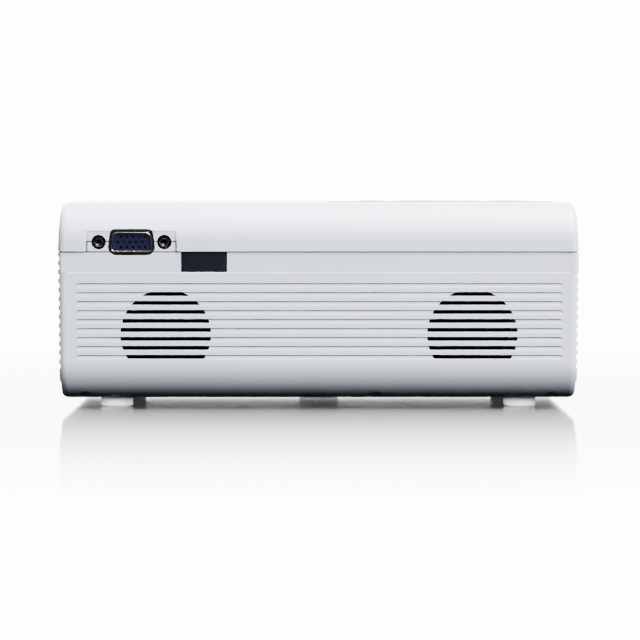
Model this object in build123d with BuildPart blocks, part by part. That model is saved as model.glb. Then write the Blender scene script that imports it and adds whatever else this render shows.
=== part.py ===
from build123d import *
import math
import os

os.makedirs("parts", exist_ok=True)

# The projector stands on its feet at Z 0. Its back, with the VGA socket, faces -Y and
# its lens faces +Y. X 0 is the middle of its width. All sizes are in millimetres.

# Casing
case_width = 198.8
case_depth = 142.0
case_height = 75.0
foot_height = 3.7
wall = 2.2
side_lean = 0.6
top_lean = 0.9
rear_top_radius = 14.4
rear_bottom_radius = 14.0
front_top_radius = 14.4
front_bottom_radius = 6.0
side_edge_radius = 3.0
lens_reach = 8.0

rear_y = -(case_depth + lens_reach) / 2
front_y = rear_y + case_depth
mid_y = (rear_y + front_y) / 2
bottom_z = foot_height
top_z = bottom_z + case_height
floor_z = bottom_z + wall
ceiling_z = top_z - wall
rear_wall_y = rear_y + wall
front_wall_y = front_y - wall
outside = 10.0

# Seam between the lower case and the cover, and the lip that locates them
seam_z = 59.7
seam_groove_height = 0.5
seam_groove_depth = 0.95
lip_height = 2.0
lip_clearance = 0.1
lip_inset = wall / 2
fit = 0.1

# Recessed band under the seam, and the louvres below it
band_bottom_z = 51.9
band_depth = 0.4
louvre_pitch = 3.423
louvre_top_z = 48.08
louvre_height = 1.9
louvre_slit = 0.36
louvre_depth = 1.1
louvre_ramp = 0.3
louvre_count = 9
louvre_length = case_width - 13.4
louvre_shift = 0.4
slot_height = 1.6
slot_rise = 0.1
rib_height = 0.6
rib_groove_height = 1.75
left_ribs_above = 3
right_ribs_above = 1
ribs_below = 1
side_relief_z = 10.3

# Loudspeakers and their grilles
speaker_x = case_width / 2 - 41.0
speaker_z = 28.5
grille_shift = 0.3
grille_radius = 17.3
speaker_radius = 15.2
speaker_mount_z = 33.0
speaker_depth = 13.0
cloth_thickness = 0.4

# VGA socket
vga_x = 28.3 - case_width / 2
vga_z = 63.7
vga_screw_pitch = 24.99
vga_hole_width = 18.9
vga_hole_height = 10.05
vga_hole_foot = 3.2
vga_screw_hole = 5.6
vga_pocket_width = 34.2
vga_pocket_top = 68.0
pocket_depth = 0.6
tongue_width = 33.5
d_slant = 8.0

# Smoked windows of the remote control's receivers
window_width = 17.6
rear_window_x = 55.9 - case_width / 2
front_window_x = 4.0
status_light_x = 16.0
status_light_radius = 1.2

# Screw posts between the two halves
side_post_x = case_width / 2 - 10.2
middle_post_x = 22.0
post_inset = 9.0
post_radius = 4.8
slim_post_radius = 2.6
screw_well_radius = 3.3
screw_seat_z = 46.0
screw_radius = 1.3
screw_hole_radius = 1.35
screw_length = 22.0
screw_head_radius = 2.7
screw_head_height = 2.2

# Feet and bottom fittings
foot_x = case_width / 2 - 21.6
foot_radius = 6.2
foot_inset = 21.0
foot_seat_depth = 0.8
elevator_x = 0.0
elevator_inset = 21.0
elevator_knob_radius = 8.0
elevator_screw_radius = 2.9
elevator_travel = 12.0
insert_radius = 4.5
insert_length = 8.0
tripod_radius = 4.8
tripod_bore = 2.6

# Keypad
keypad_x = case_width / 2 - 51.1
keypad_y = mid_y + 4.0
panel_width = 90.0
panel_length = 46.0
panel_thickness = 1.8
panel_recess = 1.5
panel_ledge = 3.0
panel_corner = 5.0
key_travel = 0.4
key_gap = 0.3
key_rise = 0.3
side_key_drop = 0.05
ring_radius = 17.0
ok_radius = 7.0
side_key_x = 27.0
side_key_y = 9.5
side_key_width = 10.0
side_key_length = 13.0
key_flange = 0.8
key_flange_height = 1.0
keypad_board_z = 71.5
board_thickness = 1.6
switch_size = 4.5
switch_height = 2.4

# Light path: LED, LCD and mirror lie along X, the lens along Y
axis_z = 35.0
light_y = rear_y + 59.0
lens_x = 44.4 - case_width / 2
lcd_width = 84.0
lcd_height = 52.0
lcd_frame_width = 90.0
lcd_frame_x = 0.0
lcd_frame_depth = 16.0
lcd_window_width = 78.0
lcd_window_height = 46.0
duct_wall = 1.6
exhaust_fan_x = case_width / 2 - 8.5
led_x = exhaust_fan_x - 30.9
led_opening = 30.0
led_plate = 40.0
heat_sink_size = 50.0
heat_sink_depth = 20.0
fin_thickness = 1.2
fin_count = 13
mirror_half_height = 20.0
mirror_length = 84.0
mirror_thickness = 2.0

# Lens
lens_opening_radius = 24.6
bezel_radius = 28.0
bezel_flange = 2.0
bezel_seat = 1.0
ring_outer_radius = 24.0
ring_length = 15.0
running_gap = 0.3
mount_outer_radius = 21.0
mount_wall = 1.8
barrel_wall = 1.8
barrel_length = 44.0
focus_travel = 5.0
pin_radius = 1.4

# Fans
fan_size = 50.0
fan_depth = 10.0
fan_bore = 23.5
hub_radius = 10.0
blade_count = 7
blade_pitch = 38.0
blade_twist = 14.0
root_chord = 8.0
tip_chord = 10.0
intake_fan_x = case_width / 2 - 46.4
intake_fan_y = front_y - 7.7

# Boards and sockets
main_board_z = 57.4
main_board_left_x = 2.8 - case_width / 2
main_board_right_x = main_board_left_x + 70.2
main_board_rear_y = rear_y + 4.0
main_board_front_y = main_board_rear_y + 81.0
hdmi_y = main_board_rear_y + 25.0
usb_y = main_board_rear_y + 44.0
card_y = main_board_rear_y + 61.0
av_y = main_board_rear_y + 73.0
inlet_z = 21.0
power_board_z = 11.6
hdmi_width = 15.0
hdmi_height = 5.6
hdmi_depth = 11.0
usb_width = 13.2
usb_height = 6.0
usb_depth = 14.0
card_width = 12.4
card_height = 2.0
card_depth = 13.0
av_size = 6.4
av_depth = 12.0
av_collar_radius = 2.8
av_bore_radius = 1.8
inlet_width = 20.0
inlet_height = 11.0
inlet_depth = 14.0
inlet_recess = 1.2
pin_pitch = 8.6
board_post_radius = 2.5
power_board_width = 50.0
power_board_front_y = intake_fan_y - 9.3
power_board_length = power_board_front_y - light_y - 28.0
power_board_x = case_width / 2 - 31.0
power_board_y = power_board_front_y - power_board_length / 2
inlet_y = power_board_y - 1.0

# Other clearances and supports
lens_mount_y = light_y + 33.0
front_louvre_left_x = lens_x + 35.0
tripod_x = lens_x + 25.0
tripod_y = light_y
rest_gap = 0.3
boss_wall = 2.0
insert_recess = 0.2
left_vent_y = front_y - 29.0
left_vent_length = 36.0
cradle_pitch = 30.0
cradle_width = 3.0
led_thickness = 2.0
window_flange = 1.0
magnet_radius = 9.0
magnet_height = 4.0
cone_rim = 13.4
vga_depth = 9.0
vga_setback = 1.5
vga_recess = 0.9
vga_shell_width = 16.3
vga_shell_height = 7.5
vga_insert_gap = 0.2
standoff_radius = 2.1
standoff_bore = 0.9
standoff_chamfer = 0.35
vga_pin_pitch = 2.3
vga_row_pitch = 1.98
vga_metal = 0.45
vga_ear = 5.2
socket_recess = 1.0
condenser_radius = 13.0
condenser_edge = 1.5
condenser_bulge = 6.5
condenser_stand = 2.5
mirror_mouth = 27.5
shaft_radius = 1.2

elevator_y = front_y - elevator_inset
vga_back_y = rear_wall_y + 8.0
vga_screw_spots = [(vga_x - vga_screw_pitch / 2, vga_z), (vga_x + vga_screw_pitch / 2, vga_z)]
foot_spots = [(x, y) for y in (rear_y + foot_inset, front_y - foot_inset) for x in (-foot_x, foot_x)]
board_post_spots = [
    (main_board_left_x + 4.2, hdmi_y + 6.0),
    (main_board_left_x + 4.2, main_board_front_y - 6.0),
    (main_board_right_x - 4.5, main_board_rear_y + 4.5),
]
power_post_spots = [
    (power_board_x + i * (power_board_width / 2 - 4), power_board_y + j * (power_board_length / 2 - 4))
    for i in (-1, 1)
    for j in (-1, 1)
]
mirror_leg_spots = [
    (lens_x - 27.0, lens_mount_y - 5.0),
    (lens_x, lens_mount_y - 5.0),
    (lens_x + 25.0, lens_mount_y - 5.0),
    (lens_x + 28.0, light_y - 26.0),
]
keypad_post_spots = [
    (keypad_x + i * panel_width / 2, keypad_y + j * (panel_length / 2 + 1)) for i in (-1, 1) for j in (-1, 1)
]


def side_x(z):
    """Half width of the casing at a height: the sides lean in both ways from the seam."""
    if z > seam_z:
        return case_width / 2 - top_lean * (z - seam_z) / (top_z - seam_z)
    return case_width / 2 - side_lean * (seam_z - z) / (seam_z - bottom_z)


def louvre_z(row):
    """Middle of a louvre groove, counted down from the top one on the back."""
    return louvre_top_z - louvre_height / 2 - row * louvre_pitch


def slot_z(row):
    """Middle of a through slot, which starts a little above its louvre groove."""
    return louvre_z(row) + (louvre_height - slot_height) / 2 + slot_rise


def cap_depth(radius, bulge, distance):
    """Height of a round cap of a given radius and bulge, at a distance from its middle."""
    sphere = (radius**2 + bulge**2) / (2 * bulge)
    return bulge - sphere + math.sqrt(sphere**2 - distance**2)


def rear_plane(y):
    """Drawing plane that looks at the back, with X right and Z up, at a given Y."""
    return Plane.XZ.offset(-y)


def casing_form(inset, edge_radius):
    """Closed form of the casing, drawn in by an inset on every side."""
    with BuildPart() as form:
        with BuildSketch(Plane.YZ) as side_view:
            with Locations((mid_y, (bottom_z + top_z) / 2)):
                Rectangle(case_depth - 2 * inset, case_height - 2 * inset)
            fillet(side_view.vertices().group_by(Axis.Y)[-1].sort_by(Axis.X)[0], rear_top_radius - inset)
            fillet(side_view.vertices().group_by(Axis.Y)[-1].sort_by(Axis.X)[-1], front_top_radius - inset)
            fillet(side_view.vertices().group_by(Axis.Y)[0].sort_by(Axis.X)[0], rear_bottom_radius - inset)
            fillet(side_view.vertices().group_by(Axis.Y)[0].sort_by(Axis.X)[-1], front_bottom_radius - inset)
        extrude(amount=case_width / 2 + outside, both=True)
        top_half = side_x(top_z) - inset
        seam_half = side_x(seam_z) - inset
        bottom_half = side_x(bottom_z) - inset
        with BuildSketch(Plane.XZ):
            with BuildLine():
                Polyline(
                    (-top_half, top_z),
                    (top_half, top_z),
                    (seam_half, seam_z),
                    (bottom_half, bottom_z),
                    (-bottom_half, bottom_z),
                    (-seam_half, seam_z),
                    close=True,
                )
            make_face()
        extrude(amount=case_depth, both=True, mode=Mode.INTERSECT)
        if edge_radius > 0:
            sides = form.faces().filter_by(lambda face: abs(face.normal_at().X) > 0.9)
            rims = sides.edges().filter_by(lambda edge: abs(edge.center().Z - seam_z) > 0.1)
            fillet(rims, edge_radius)
    return form.part


def louvre_grooves(y, inward, centre_x, length):
    """Grooves with a narrow slit under the upper edge, a ramp below it and round ends."""
    with BuildPart() as grooves:
        with BuildSketch(Plane.YZ.offset(centre_x)):
            for row in range(louvre_count):
                upper = louvre_z(row) + louvre_height / 2
                lower = upper - louvre_height
                with BuildLine():
                    Polyline(
                        (y - inward, upper),
                        (y + inward * louvre_depth, upper),
                        (y + inward * louvre_depth, upper - louvre_slit),
                        (y + inward * louvre_ramp, upper - louvre_slit),
                        (y, lower),
                        (y - inward, lower),
                        close=True,
                    )
                make_face()
        extrude(amount=length / 2, both=True)
        with BuildSketch(rear_plane(y)):
            with Locations(*[(centre_x, louvre_z(row)) for row in range(louvre_count)]):
                SlotOverall(length, louvre_height)
        extrude(amount=outside, both=True, mode=Mode.INTERSECT)
    return grooves.part


def d_sketch(y, width, height, corner, foot_corner):
    """D-shaped connector outline round the middle of the VGA socket."""
    with BuildSketch(rear_plane(y)) as outline:
        with Locations((vga_x, vga_z)):
            Trapezoid(width, height, 90 - d_slant)
        fillet(outline.vertices().group_by(Axis.Y)[-1], corner)
        fillet(outline.vertices().group_by(Axis.Y)[0], foot_corner)
    return outline.sketch


def post_places():
    """Places of the six screw posts, seen from above."""
    places = []
    for y in (rear_y + post_inset, front_y - post_inset):
        for x in (-side_post_x, middle_post_x, side_post_x):
            places.append((x, y))
    return places


# Everything that is cut out of both halves of the casing
screw_spots = post_places()
louvre_rows = range(louvre_count)
left_rows = range(-left_ribs_above, louvre_count + ribs_below)
right_rows = range(-right_ribs_above, louvre_count + ribs_below)
front_length = louvre_length / 2 - front_louvre_left_x
front_centre_x = front_louvre_left_x + front_length / 2

with BuildPart() as case_cuts:
    # Recessed band under the seam, at the back and at the front
    with BuildSketch(Plane.YZ):
        with Locations((mid_y, (band_bottom_z + seam_z) / 2)):
            Rectangle(case_depth + outside, seam_z - band_bottom_z)
            Rectangle(case_depth - 2 * band_depth, seam_z - band_bottom_z, mode=Mode.SUBTRACT)
    extrude(amount=case_width, both=True)

    # Louvre grooves of the back and the front
    add(louvre_grooves(rear_y, 1, louvre_shift, louvre_length))
    add(louvre_grooves(front_y, -1, front_centre_x, front_length))

    # Slots of the two loudspeaker grilles, cut off by a circle
    with BuildSketch(rear_plane(rear_y + wall + outside)):
        with Locations(*[(0, slot_z(row)) for row in louvre_rows[1:]]):
            Rectangle(case_width, slot_height)
        with BuildSketch(mode=Mode.INTERSECT):
            with Locations((grille_shift - speaker_x, speaker_z), (grille_shift + speaker_x, speaker_z)):
                Circle(grille_radius)
    extrude(amount=wall + 2 * outside)

    # Slots over the intake fan at the front
    with BuildSketch(rear_plane(front_y + outside)):
        with Locations(*[(intake_fan_x, slot_z(row)) for row in louvre_rows]):
            SlotOverall(fan_size, slot_height)
    extrude(amount=wall + 2 * outside)

    # Grooves between the ribs of the two sides, along the whole depth
    with BuildSketch(Plane.XZ):
        for side, rows in ((-1, left_rows), (1, right_rows)):
            for row in rows:
                groove_x = side_x(louvre_z(row)) - rib_height + outside / 2
                with Locations((side * groove_x, louvre_z(row))):
                    Rectangle(outside, rib_groove_height)
            relief_x = side_x(side_relief_z) - rib_height + outside / 2
            with Locations((side * relief_x, side_relief_z)):
                Rectangle(outside, 2 * (side_relief_z - bottom_z), align=(Align.CENTER, Align.MAX))
    extrude(amount=case_depth, both=True)

    # Flat pocket round the VGA socket, its D-shaped hole and its two screw holes
    with BuildSketch(rear_plane(rear_y + pocket_depth)):
        with Locations((vga_x, seam_z)):
            Rectangle(vga_pocket_width, vga_pocket_top - seam_z, align=(Align.CENTER, Align.MIN))
    extrude(amount=outside)
    vga_hole = d_sketch(rear_y + wall + 1, vga_hole_width, vga_hole_height, 2.0, vga_hole_foot)
    extrude(vga_hole, amount=outside)
    with BuildSketch(rear_plane(rear_y + wall + 1)):
        with Locations((vga_x - vga_screw_pitch / 2, vga_z), (vga_x + vga_screw_pitch / 2, vga_z)):
            Circle(vga_screw_hole / 2)
    extrude(amount=outside)

    # Openings for the two smoked windows and the status light
    with BuildSketch(rear_plane(front_y + outside)):
        with Locations((front_window_x, seam_z)):
            Rectangle(window_width, seam_z - band_bottom_z, align=(Align.CENTER, Align.MAX))
        with Locations((status_light_x, (seam_z + band_bottom_z) / 2)):
            Circle(status_light_radius + fit)
    extrude(amount=wall + outside + 1)
    with BuildSketch(rear_plane(rear_y + wall + 1)):
        with Locations((rear_window_x, seam_z)):
            Rectangle(window_width, seam_z - band_bottom_z, align=(Align.CENTER, Align.MAX))
    extrude(amount=wall + outside)

    # Lens opening with the seat of its bezel
    with BuildSketch(rear_plane(front_y + outside)):
        with Locations((lens_x, axis_z)):
            Circle(lens_opening_radius + 1.2)
    extrude(amount=wall + outside + 1)
    with BuildSketch(rear_plane(front_y + outside)):
        with Locations((lens_x, axis_z)):
            Circle(bezel_radius + fit)
    extrude(amount=outside + bezel_seat)

    # Openings for the sockets of the left side
    with BuildSketch(Plane.YZ.offset(-case_width / 2 - outside)):
        with Locations((hdmi_y, main_board_z + hdmi_height / 2)):
            RectangleRounded(hdmi_width + 1, hdmi_height + 1, 1.0)
        with Locations((usb_y, main_board_z + usb_height / 2)):
            RectangleRounded(usb_width + 1, usb_height + 1, 0.5)
        with Locations((card_y, main_board_z + card_height / 2)):
            RectangleRounded(card_width + 1, card_height + 1, 0.5)
        with Locations((av_y, main_board_z + av_size / 2)):
            Circle(av_collar_radius + 0.3)
    extrude(amount=outside + wall + 1)

    # Opening for the mains inlet in the right side
    with BuildSketch(Plane.YZ.offset(case_width / 2 - wall - 1.5)):
        with Locations((inlet_y, inlet_z)):
            RectangleRounded(inlet_width + 1, inlet_height + 1, 3.0)
    extrude(amount=outside)

    # Vent slots of the two sides, in the grooves between the ribs
    with BuildSketch(Plane.YZ.offset(case_width / 2 - wall - 1.5)):
        with Locations(*[(light_y, louvre_z(row)) for row in louvre_rows]):
            SlotOverall(fan_size, slot_height)
    extrude(amount=outside)
    with BuildSketch(Plane.YZ.offset(-case_width / 2 - outside / 2)):
        with Locations(*[(left_vent_y, louvre_z(row)) for row in louvre_rows]):
            SlotOverall(left_vent_length, slot_height)
    extrude(amount=outside)

    # Wells and clearance holes of the case screws
    with BuildSketch(Plane.XY):
        with Locations(*screw_spots):
            Circle(screw_well_radius)
    extrude(amount=screw_seat_z)
    with BuildSketch(Plane.XY):
        with Locations(*screw_spots):
            Circle(screw_hole_radius)
    extrude(amount=screw_seat_z + screw_length)

    # Seats of the rubber feet, and the bores of the brass inserts
    with BuildSketch(Plane.XY):
        with Locations(*foot_spots):
            Circle(foot_radius + fit)
    extrude(amount=bottom_z + foot_seat_depth)
    with BuildSketch(Plane.XY):
        with Locations((tripod_x, tripod_y)):
            Circle(tripod_radius)
    extrude(amount=bottom_z + insert_recess + insert_length)
    with BuildSketch(Plane.XY):
        with Locations((elevator_x, elevator_y)):
            Circle(elevator_screw_radius + running_gap)
    extrude(amount=floor_z + insert_length + 2)
    with BuildSketch(Plane.XY.offset(floor_z)):
        with Locations((elevator_x, elevator_y)):
            Circle(insert_radius)
    extrude(amount=insert_length + 2)

    # Recess and opening for the keypad in the top
    with BuildSketch(Plane.XY.offset(top_z - panel_recess)):
        with Locations((keypad_x, keypad_y)):
            RectangleRounded(panel_width + 2 * fit, panel_length + 2 * fit, panel_corner)
    extrude(amount=outside)
    with BuildSketch(Plane.XY.offset(ceiling_z - outside / 4)):
        with Locations((keypad_x, keypad_y)):
            RectangleRounded(panel_width - 2 * panel_ledge, panel_length - 2 * panel_ledge, 3.0)
    extrude(amount=outside)


# Hollow shell that both halves are cut from, with its lip
with BuildPart() as shell:
    add(casing_form(0, side_edge_radius))
    add(casing_form(wall, 0), mode=Mode.SUBTRACT)

with BuildPart() as lip:
    add(casing_form(lip_inset + lip_clearance, side_edge_radius - lip_inset - lip_clearance))
    add(casing_form(wall, 0), mode=Mode.SUBTRACT)
    with BuildSketch(Plane.XY.offset(seam_z)):
        Rectangle(2 * case_width, 2 * case_depth)
    extrude(amount=lip_height, mode=Mode.INTERSECT)

with BuildPart() as lip_room:
    add(casing_form(lip_inset, side_edge_radius - lip_inset))
    with BuildSketch(Plane.XY.offset(seam_z)):
        Rectangle(2 * case_width, 2 * case_depth)
    extrude(amount=lip_height + lip_clearance, mode=Mode.INTERSECT)

with BuildPart() as seam_tongue:
    add(shell.part)
    with BuildSketch(Plane.XY.offset(seam_z)):
        with Locations((vga_x, rear_y)):
            Rectangle(tongue_width, 2 * wall)
    extrude(amount=vga_z - seam_z, mode=Mode.INTERSECT)


# Posts, bosses and cradles of the lower case, trimmed to the middle of its walls
with BuildPart() as lower_supports:
    # Screw posts, bosses of the inserts and posts of the main board
    with BuildSketch(Plane.XY.offset(bottom_z)):
        with Locations(*screw_spots):
            Circle(post_radius)
    extrude(amount=screw_seat_z + wall - bottom_z)
    with BuildSketch(Plane.XY.offset(screw_seat_z)):
        with Locations(*screw_spots):
            Circle(slim_post_radius)
    extrude(amount=seam_z - screw_seat_z)
    with BuildSketch(Plane.XY.offset(bottom_z)):
        with Locations((tripod_x, tripod_y)):
            Circle(tripod_radius + boss_wall)
    extrude(amount=insert_length + boss_wall)
    with BuildSketch(Plane.XY.offset(bottom_z)):
        with Locations((elevator_x, elevator_y)):
            Circle(insert_radius + boss_wall)
    extrude(amount=insert_length + wall)
    with BuildSketch(Plane.XY.offset(bottom_z)):
        with Locations(*board_post_spots):
            Circle(board_post_radius)
    extrude(amount=main_board_z - board_thickness - bottom_z)
    with BuildSketch(Plane.XY.offset(bottom_z)):
        with Locations(*power_post_spots):
            Circle(board_post_radius)
    extrude(amount=power_board_z - board_thickness - bottom_z)
    # Cradles under the heat sink and the two fans
    with BuildSketch(Plane.XY.offset(bottom_z)):
        for cradle_y in (light_y - cradle_pitch / 2, light_y + cradle_pitch / 2):
            with Locations((led_x + 2 * led_thickness + heat_sink_depth / 2, cradle_y)):
                Rectangle(heat_sink_depth - 2, cradle_width)
            with Locations((exhaust_fan_x, cradle_y)):
                Rectangle(fan_depth, cradle_width)
        with Locations(
            (intake_fan_x - cradle_pitch / 2, intake_fan_y),
            (intake_fan_x + cradle_pitch / 2, intake_fan_y),
        ):
            Rectangle(cradle_width, fan_depth)
    extrude(amount=axis_z - fan_size / 2 - rest_gap - bottom_z)
    add(casing_form(wall / 2, 0), mode=Mode.INTERSECT)

with BuildPart() as lower_case:
    add(shell.part)
    split(bisect_by=Plane.XY.offset(seam_z), keep=Keep.BOTTOM)
    add(lip.part)
    add(seam_tongue.part)
    add(lower_supports.part)
    add(case_cuts.part, mode=Mode.SUBTRACT)
lower_case.part.label = "lower_case"
export_step(lower_case.part, "parts/lower_case.step")


# Posts of the cover, trimmed to the middle of its wall
with BuildPart() as cover_posts:
    # Screw posts and the four posts that carry the keypad's board
    with BuildSketch(Plane.XY.offset(seam_z)):
        with Locations(*screw_spots):
            Circle(slim_post_radius)
    extrude(amount=top_z - seam_z)
    with BuildSketch(Plane.XY.offset(keypad_board_z)):
        with Locations(*keypad_post_spots):
            Circle(board_post_radius)
    extrude(amount=top_z - keypad_board_z)
    add(casing_form(wall / 2, 0), mode=Mode.INTERSECT)

with BuildPart() as top_cover:
    add(shell.part)
    split(bisect_by=Plane.XY.offset(seam_z), keep=Keep.TOP)
    # Rebate for the lip, shadow groove along the seam and the notch for the tongue
    add(lip_room.part, mode=Mode.SUBTRACT)
    with BuildSketch(Plane.XY.offset(seam_z)):
        Rectangle(2 * case_width, 2 * case_depth)
        with Locations((0, mid_y)):
            RectangleRounded(
                2 * side_x(seam_z) - 2 * seam_groove_depth,
                case_depth - 2 * seam_groove_depth,
                side_edge_radius - seam_groove_depth,
                mode=Mode.SUBTRACT,
            )
    extrude(amount=seam_groove_height, mode=Mode.SUBTRACT)
    with BuildSketch(Plane.XY.offset(seam_z)):
        with Locations((vga_x, rear_y)):
            Rectangle(tongue_width + 2 * fit, 2 * wall)
    extrude(amount=vga_z - seam_z, mode=Mode.SUBTRACT)
    with BuildSketch(Plane.XY.offset(seam_z)):
        with Locations((vga_x, rear_y)):
            Rectangle(tongue_width + 2 * seam_groove_height, 2 * (pocket_depth + seam_groove_depth))
    extrude(amount=vga_z - seam_z + seam_groove_height, mode=Mode.SUBTRACT)
    add(cover_posts.part)
    add(case_cuts.part, mode=Mode.SUBTRACT)
top_cover.part.label = "top_cover"
export_step(top_cover.part, "parts/top_cover.step")


# Feet, inserts and screws under the case
with BuildPart() as rubber_feet:
    with BuildSketch(Plane.XY):
        with Locations(*foot_spots):
            Circle(foot_radius)
    extrude(amount=bottom_z + foot_seat_depth)
    fillet(rubber_feet.edges().group_by(Axis.Z)[0], 1.2)
rubber_feet.part.label = "rubber_feet"
export_step(rubber_feet.part, "parts/rubber_feet.step")

with BuildPart() as elevator_foot:
    with BuildSketch(Plane.XY.offset(rest_gap)):
        with Locations((elevator_x, elevator_y)):
            RegularPolygon(elevator_knob_radius, 16)
    extrude(amount=bottom_z - 2 * rest_gap)
    chamfer(elevator_foot.edges().group_by(Axis.Z)[0], 0.8)
    with BuildSketch(Plane.XY.offset(rest_gap + 1)):
        with Locations((elevator_x, elevator_y)):
            Circle(elevator_screw_radius)
    extrude(amount=elevator_travel + insert_length)
elevator_foot.part.label = "elevator_foot"
export_step(elevator_foot.part, "parts/elevator_foot.step")

with BuildPart() as brass_inserts:
    with BuildSketch(Plane.XY.offset(bottom_z + insert_recess)):
        with Locations((tripod_x, tripod_y)):
            Circle(tripod_radius)
            Circle(tripod_bore, mode=Mode.SUBTRACT)
    extrude(amount=insert_length)
    with BuildSketch(Plane.XY.offset(floor_z)):
        with Locations((elevator_x, elevator_y)):
            Circle(insert_radius)
            Circle(elevator_screw_radius + fit, mode=Mode.SUBTRACT)
    extrude(amount=insert_length)
brass_inserts.part.label = "brass_inserts"
export_step(brass_inserts.part, "parts/brass_inserts.step")

with BuildPart() as case_screws:
    with BuildSketch(Plane.XY.offset(screw_seat_z)):
        with Locations(*screw_spots):
            Circle(screw_radius)
    extrude(amount=screw_length - 1)
    with BuildSketch(Plane.XY.offset(screw_seat_z - screw_head_height)):
        with Locations(*screw_spots):
            Circle(screw_head_radius)
    extrude(amount=screw_head_height)
    with BuildSketch(Plane.XY.offset(screw_seat_z - screw_head_height)):
        with Locations(*screw_spots):
            Rectangle(2.8, 0.7)
            Rectangle(0.7, 2.8)
    extrude(amount=1.0, mode=Mode.SUBTRACT)
case_screws.part.label = "case_screws"
export_step(case_screws.part, "parts/case_screws.step")


# Smoked windows, with a flange behind the wall, and the light guide of the status light
def smoked_window(centre_x, y, inward):
    """Window in the band: a plate in the opening with a thin flange behind the wall."""
    with BuildPart() as window:
        with BuildSketch(Plane.YZ.offset(centre_x)):
            with Locations((y + inward * (band_depth + wall / 2), (seam_z + band_bottom_z) / 2)):
                Rectangle(wall, seam_z - band_bottom_z - 2 * fit)
        extrude(amount=window_width / 2 - fit, both=True)
        with BuildSketch(rear_plane(y + inward * wall)):
            with Locations((centre_x, (seam_z + band_bottom_z) / 2)):
                Rectangle(window_width + 2, seam_z - band_bottom_z + 2)
        extrude(amount=-inward * window_flange)
    return window.part


rear_ir_window = smoked_window(rear_window_x, rear_y, 1)
rear_ir_window.label = "rear_ir_window"
export_step(rear_ir_window, "parts/rear_ir_window.step")

front_ir_window = smoked_window(front_window_x, front_y, -1)
front_ir_window.label = "front_ir_window"
export_step(front_ir_window, "parts/front_ir_window.step")

with BuildPart() as status_light:
    with BuildSketch(rear_plane(front_y - band_depth)):
        with Locations((status_light_x, (seam_z + band_bottom_z) / 2)):
            Circle(status_light_radius)
    extrude(amount=wall + 2)
    with BuildSketch(rear_plane(front_wall_y)):
        with Locations((status_light_x, (seam_z + band_bottom_z) / 2)):
            Circle(status_light_radius + 1)
    extrude(amount=1.0)
status_light.part.label = "status_light"
export_step(status_light.part, "parts/status_light.step")


# Keypad: a raised panel, nine keys that slide in it, and the board with their switches
panel_bottom_z = top_z - panel_recess
panel_top_z = panel_bottom_z + panel_thickness
side_key_spots = [
    (keypad_x + i * side_key_x, keypad_y + j * side_key_y) for i in (-1, 1) for j in (-1, 1)
]

with BuildPart() as keypad_panel:
    with BuildSketch(Plane.XY.offset(panel_bottom_z)):
        with Locations((keypad_x, keypad_y)):
            RectangleRounded(panel_width, panel_length, panel_corner)
            Circle(ring_radius, mode=Mode.SUBTRACT)
        with Locations(*side_key_spots):
            RectangleRounded(
                side_key_width + 2 * key_gap,
                side_key_length + 2 * key_gap,
                2.0 + key_gap,
                mode=Mode.SUBTRACT,
            )
    extrude(amount=panel_thickness)
keypad_panel.part.label = "keypad_panel"
export_step(keypad_panel.part, "parts/keypad_panel.step")


def key(face, flange, stem_spot, name):
    """Key with its cap in the panel, a flange under the panel and a stem over its switch."""
    flange_top = panel_bottom_z - key_gap
    stem_bottom = keypad_board_z + switch_height + key_travel + 0.05
    with BuildPart() as body:
        extrude(Plane.XY.offset(flange_top) * face, amount=panel_top_z + key_rise - side_key_drop - flange_top)
        fillet(body.faces().sort_by(Axis.Z)[-1].edges(), 0.3)
        extrude(Plane.XY.offset(flange_top - key_flange_height) * flange, amount=key_flange_height)
        with BuildSketch(Plane.XY.offset(stem_bottom)):
            with Locations(stem_spot):
                Circle(1.6)
        extrude(amount=flange_top - key_flange_height - stem_bottom)
    body.part.label = name
    export_step(body.part, "parts/" + name + ".step")
    return body.part


def ring_sector(inner, outer, direction):
    """Quarter of a flat ring round the middle of the keypad, with straight gaps beside it."""
    middle = Vector(keypad_x, keypad_y)
    apex = middle + Vector(key_gap / math.sin(math.radians(45)), 0).rotate(Axis.Z, direction)
    left = apex + Vector(3 * outer, 0).rotate(Axis.Z, direction + 45)
    right = apex + Vector(3 * outer, 0).rotate(Axis.Z, direction - 45)
    with BuildSketch() as sector:
        with Locations(middle):
            Circle(outer)
            Circle(inner, mode=Mode.SUBTRACT)
        with BuildLine():
            Polyline(apex, left, right, close=True)
        make_face(mode=Mode.INTERSECT)
    return sector.sketch


arrow_stem = (ring_radius + ok_radius) / 2
for name, direction in (("key_right", 0), ("key_up", 90), ("key_left", 180), ("key_down", 270)):
    stem = Vector(keypad_x, keypad_y) + Vector(arrow_stem, 0).rotate(Axis.Z, direction)
    cap = ring_sector(ok_radius + 2 * key_gap, ring_radius - key_gap, direction)
    under = ring_sector(ok_radius + 2 * key_gap, ring_radius + key_flange, direction)
    key(cap, under, stem, name)

for name, spot in zip(("key_back", "key_power", "key_menu", "key_source"), side_key_spots):
    with BuildSketch() as cap:
        with Locations(spot):
            RectangleRounded(side_key_width, side_key_length, 2.0)
    with BuildSketch() as under:
        with Locations(spot):
            RectangleRounded(side_key_width + 2 * key_flange, side_key_length + 2 * key_flange, 2.0)
    key(cap.sketch, under.sketch, spot, name)

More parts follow.
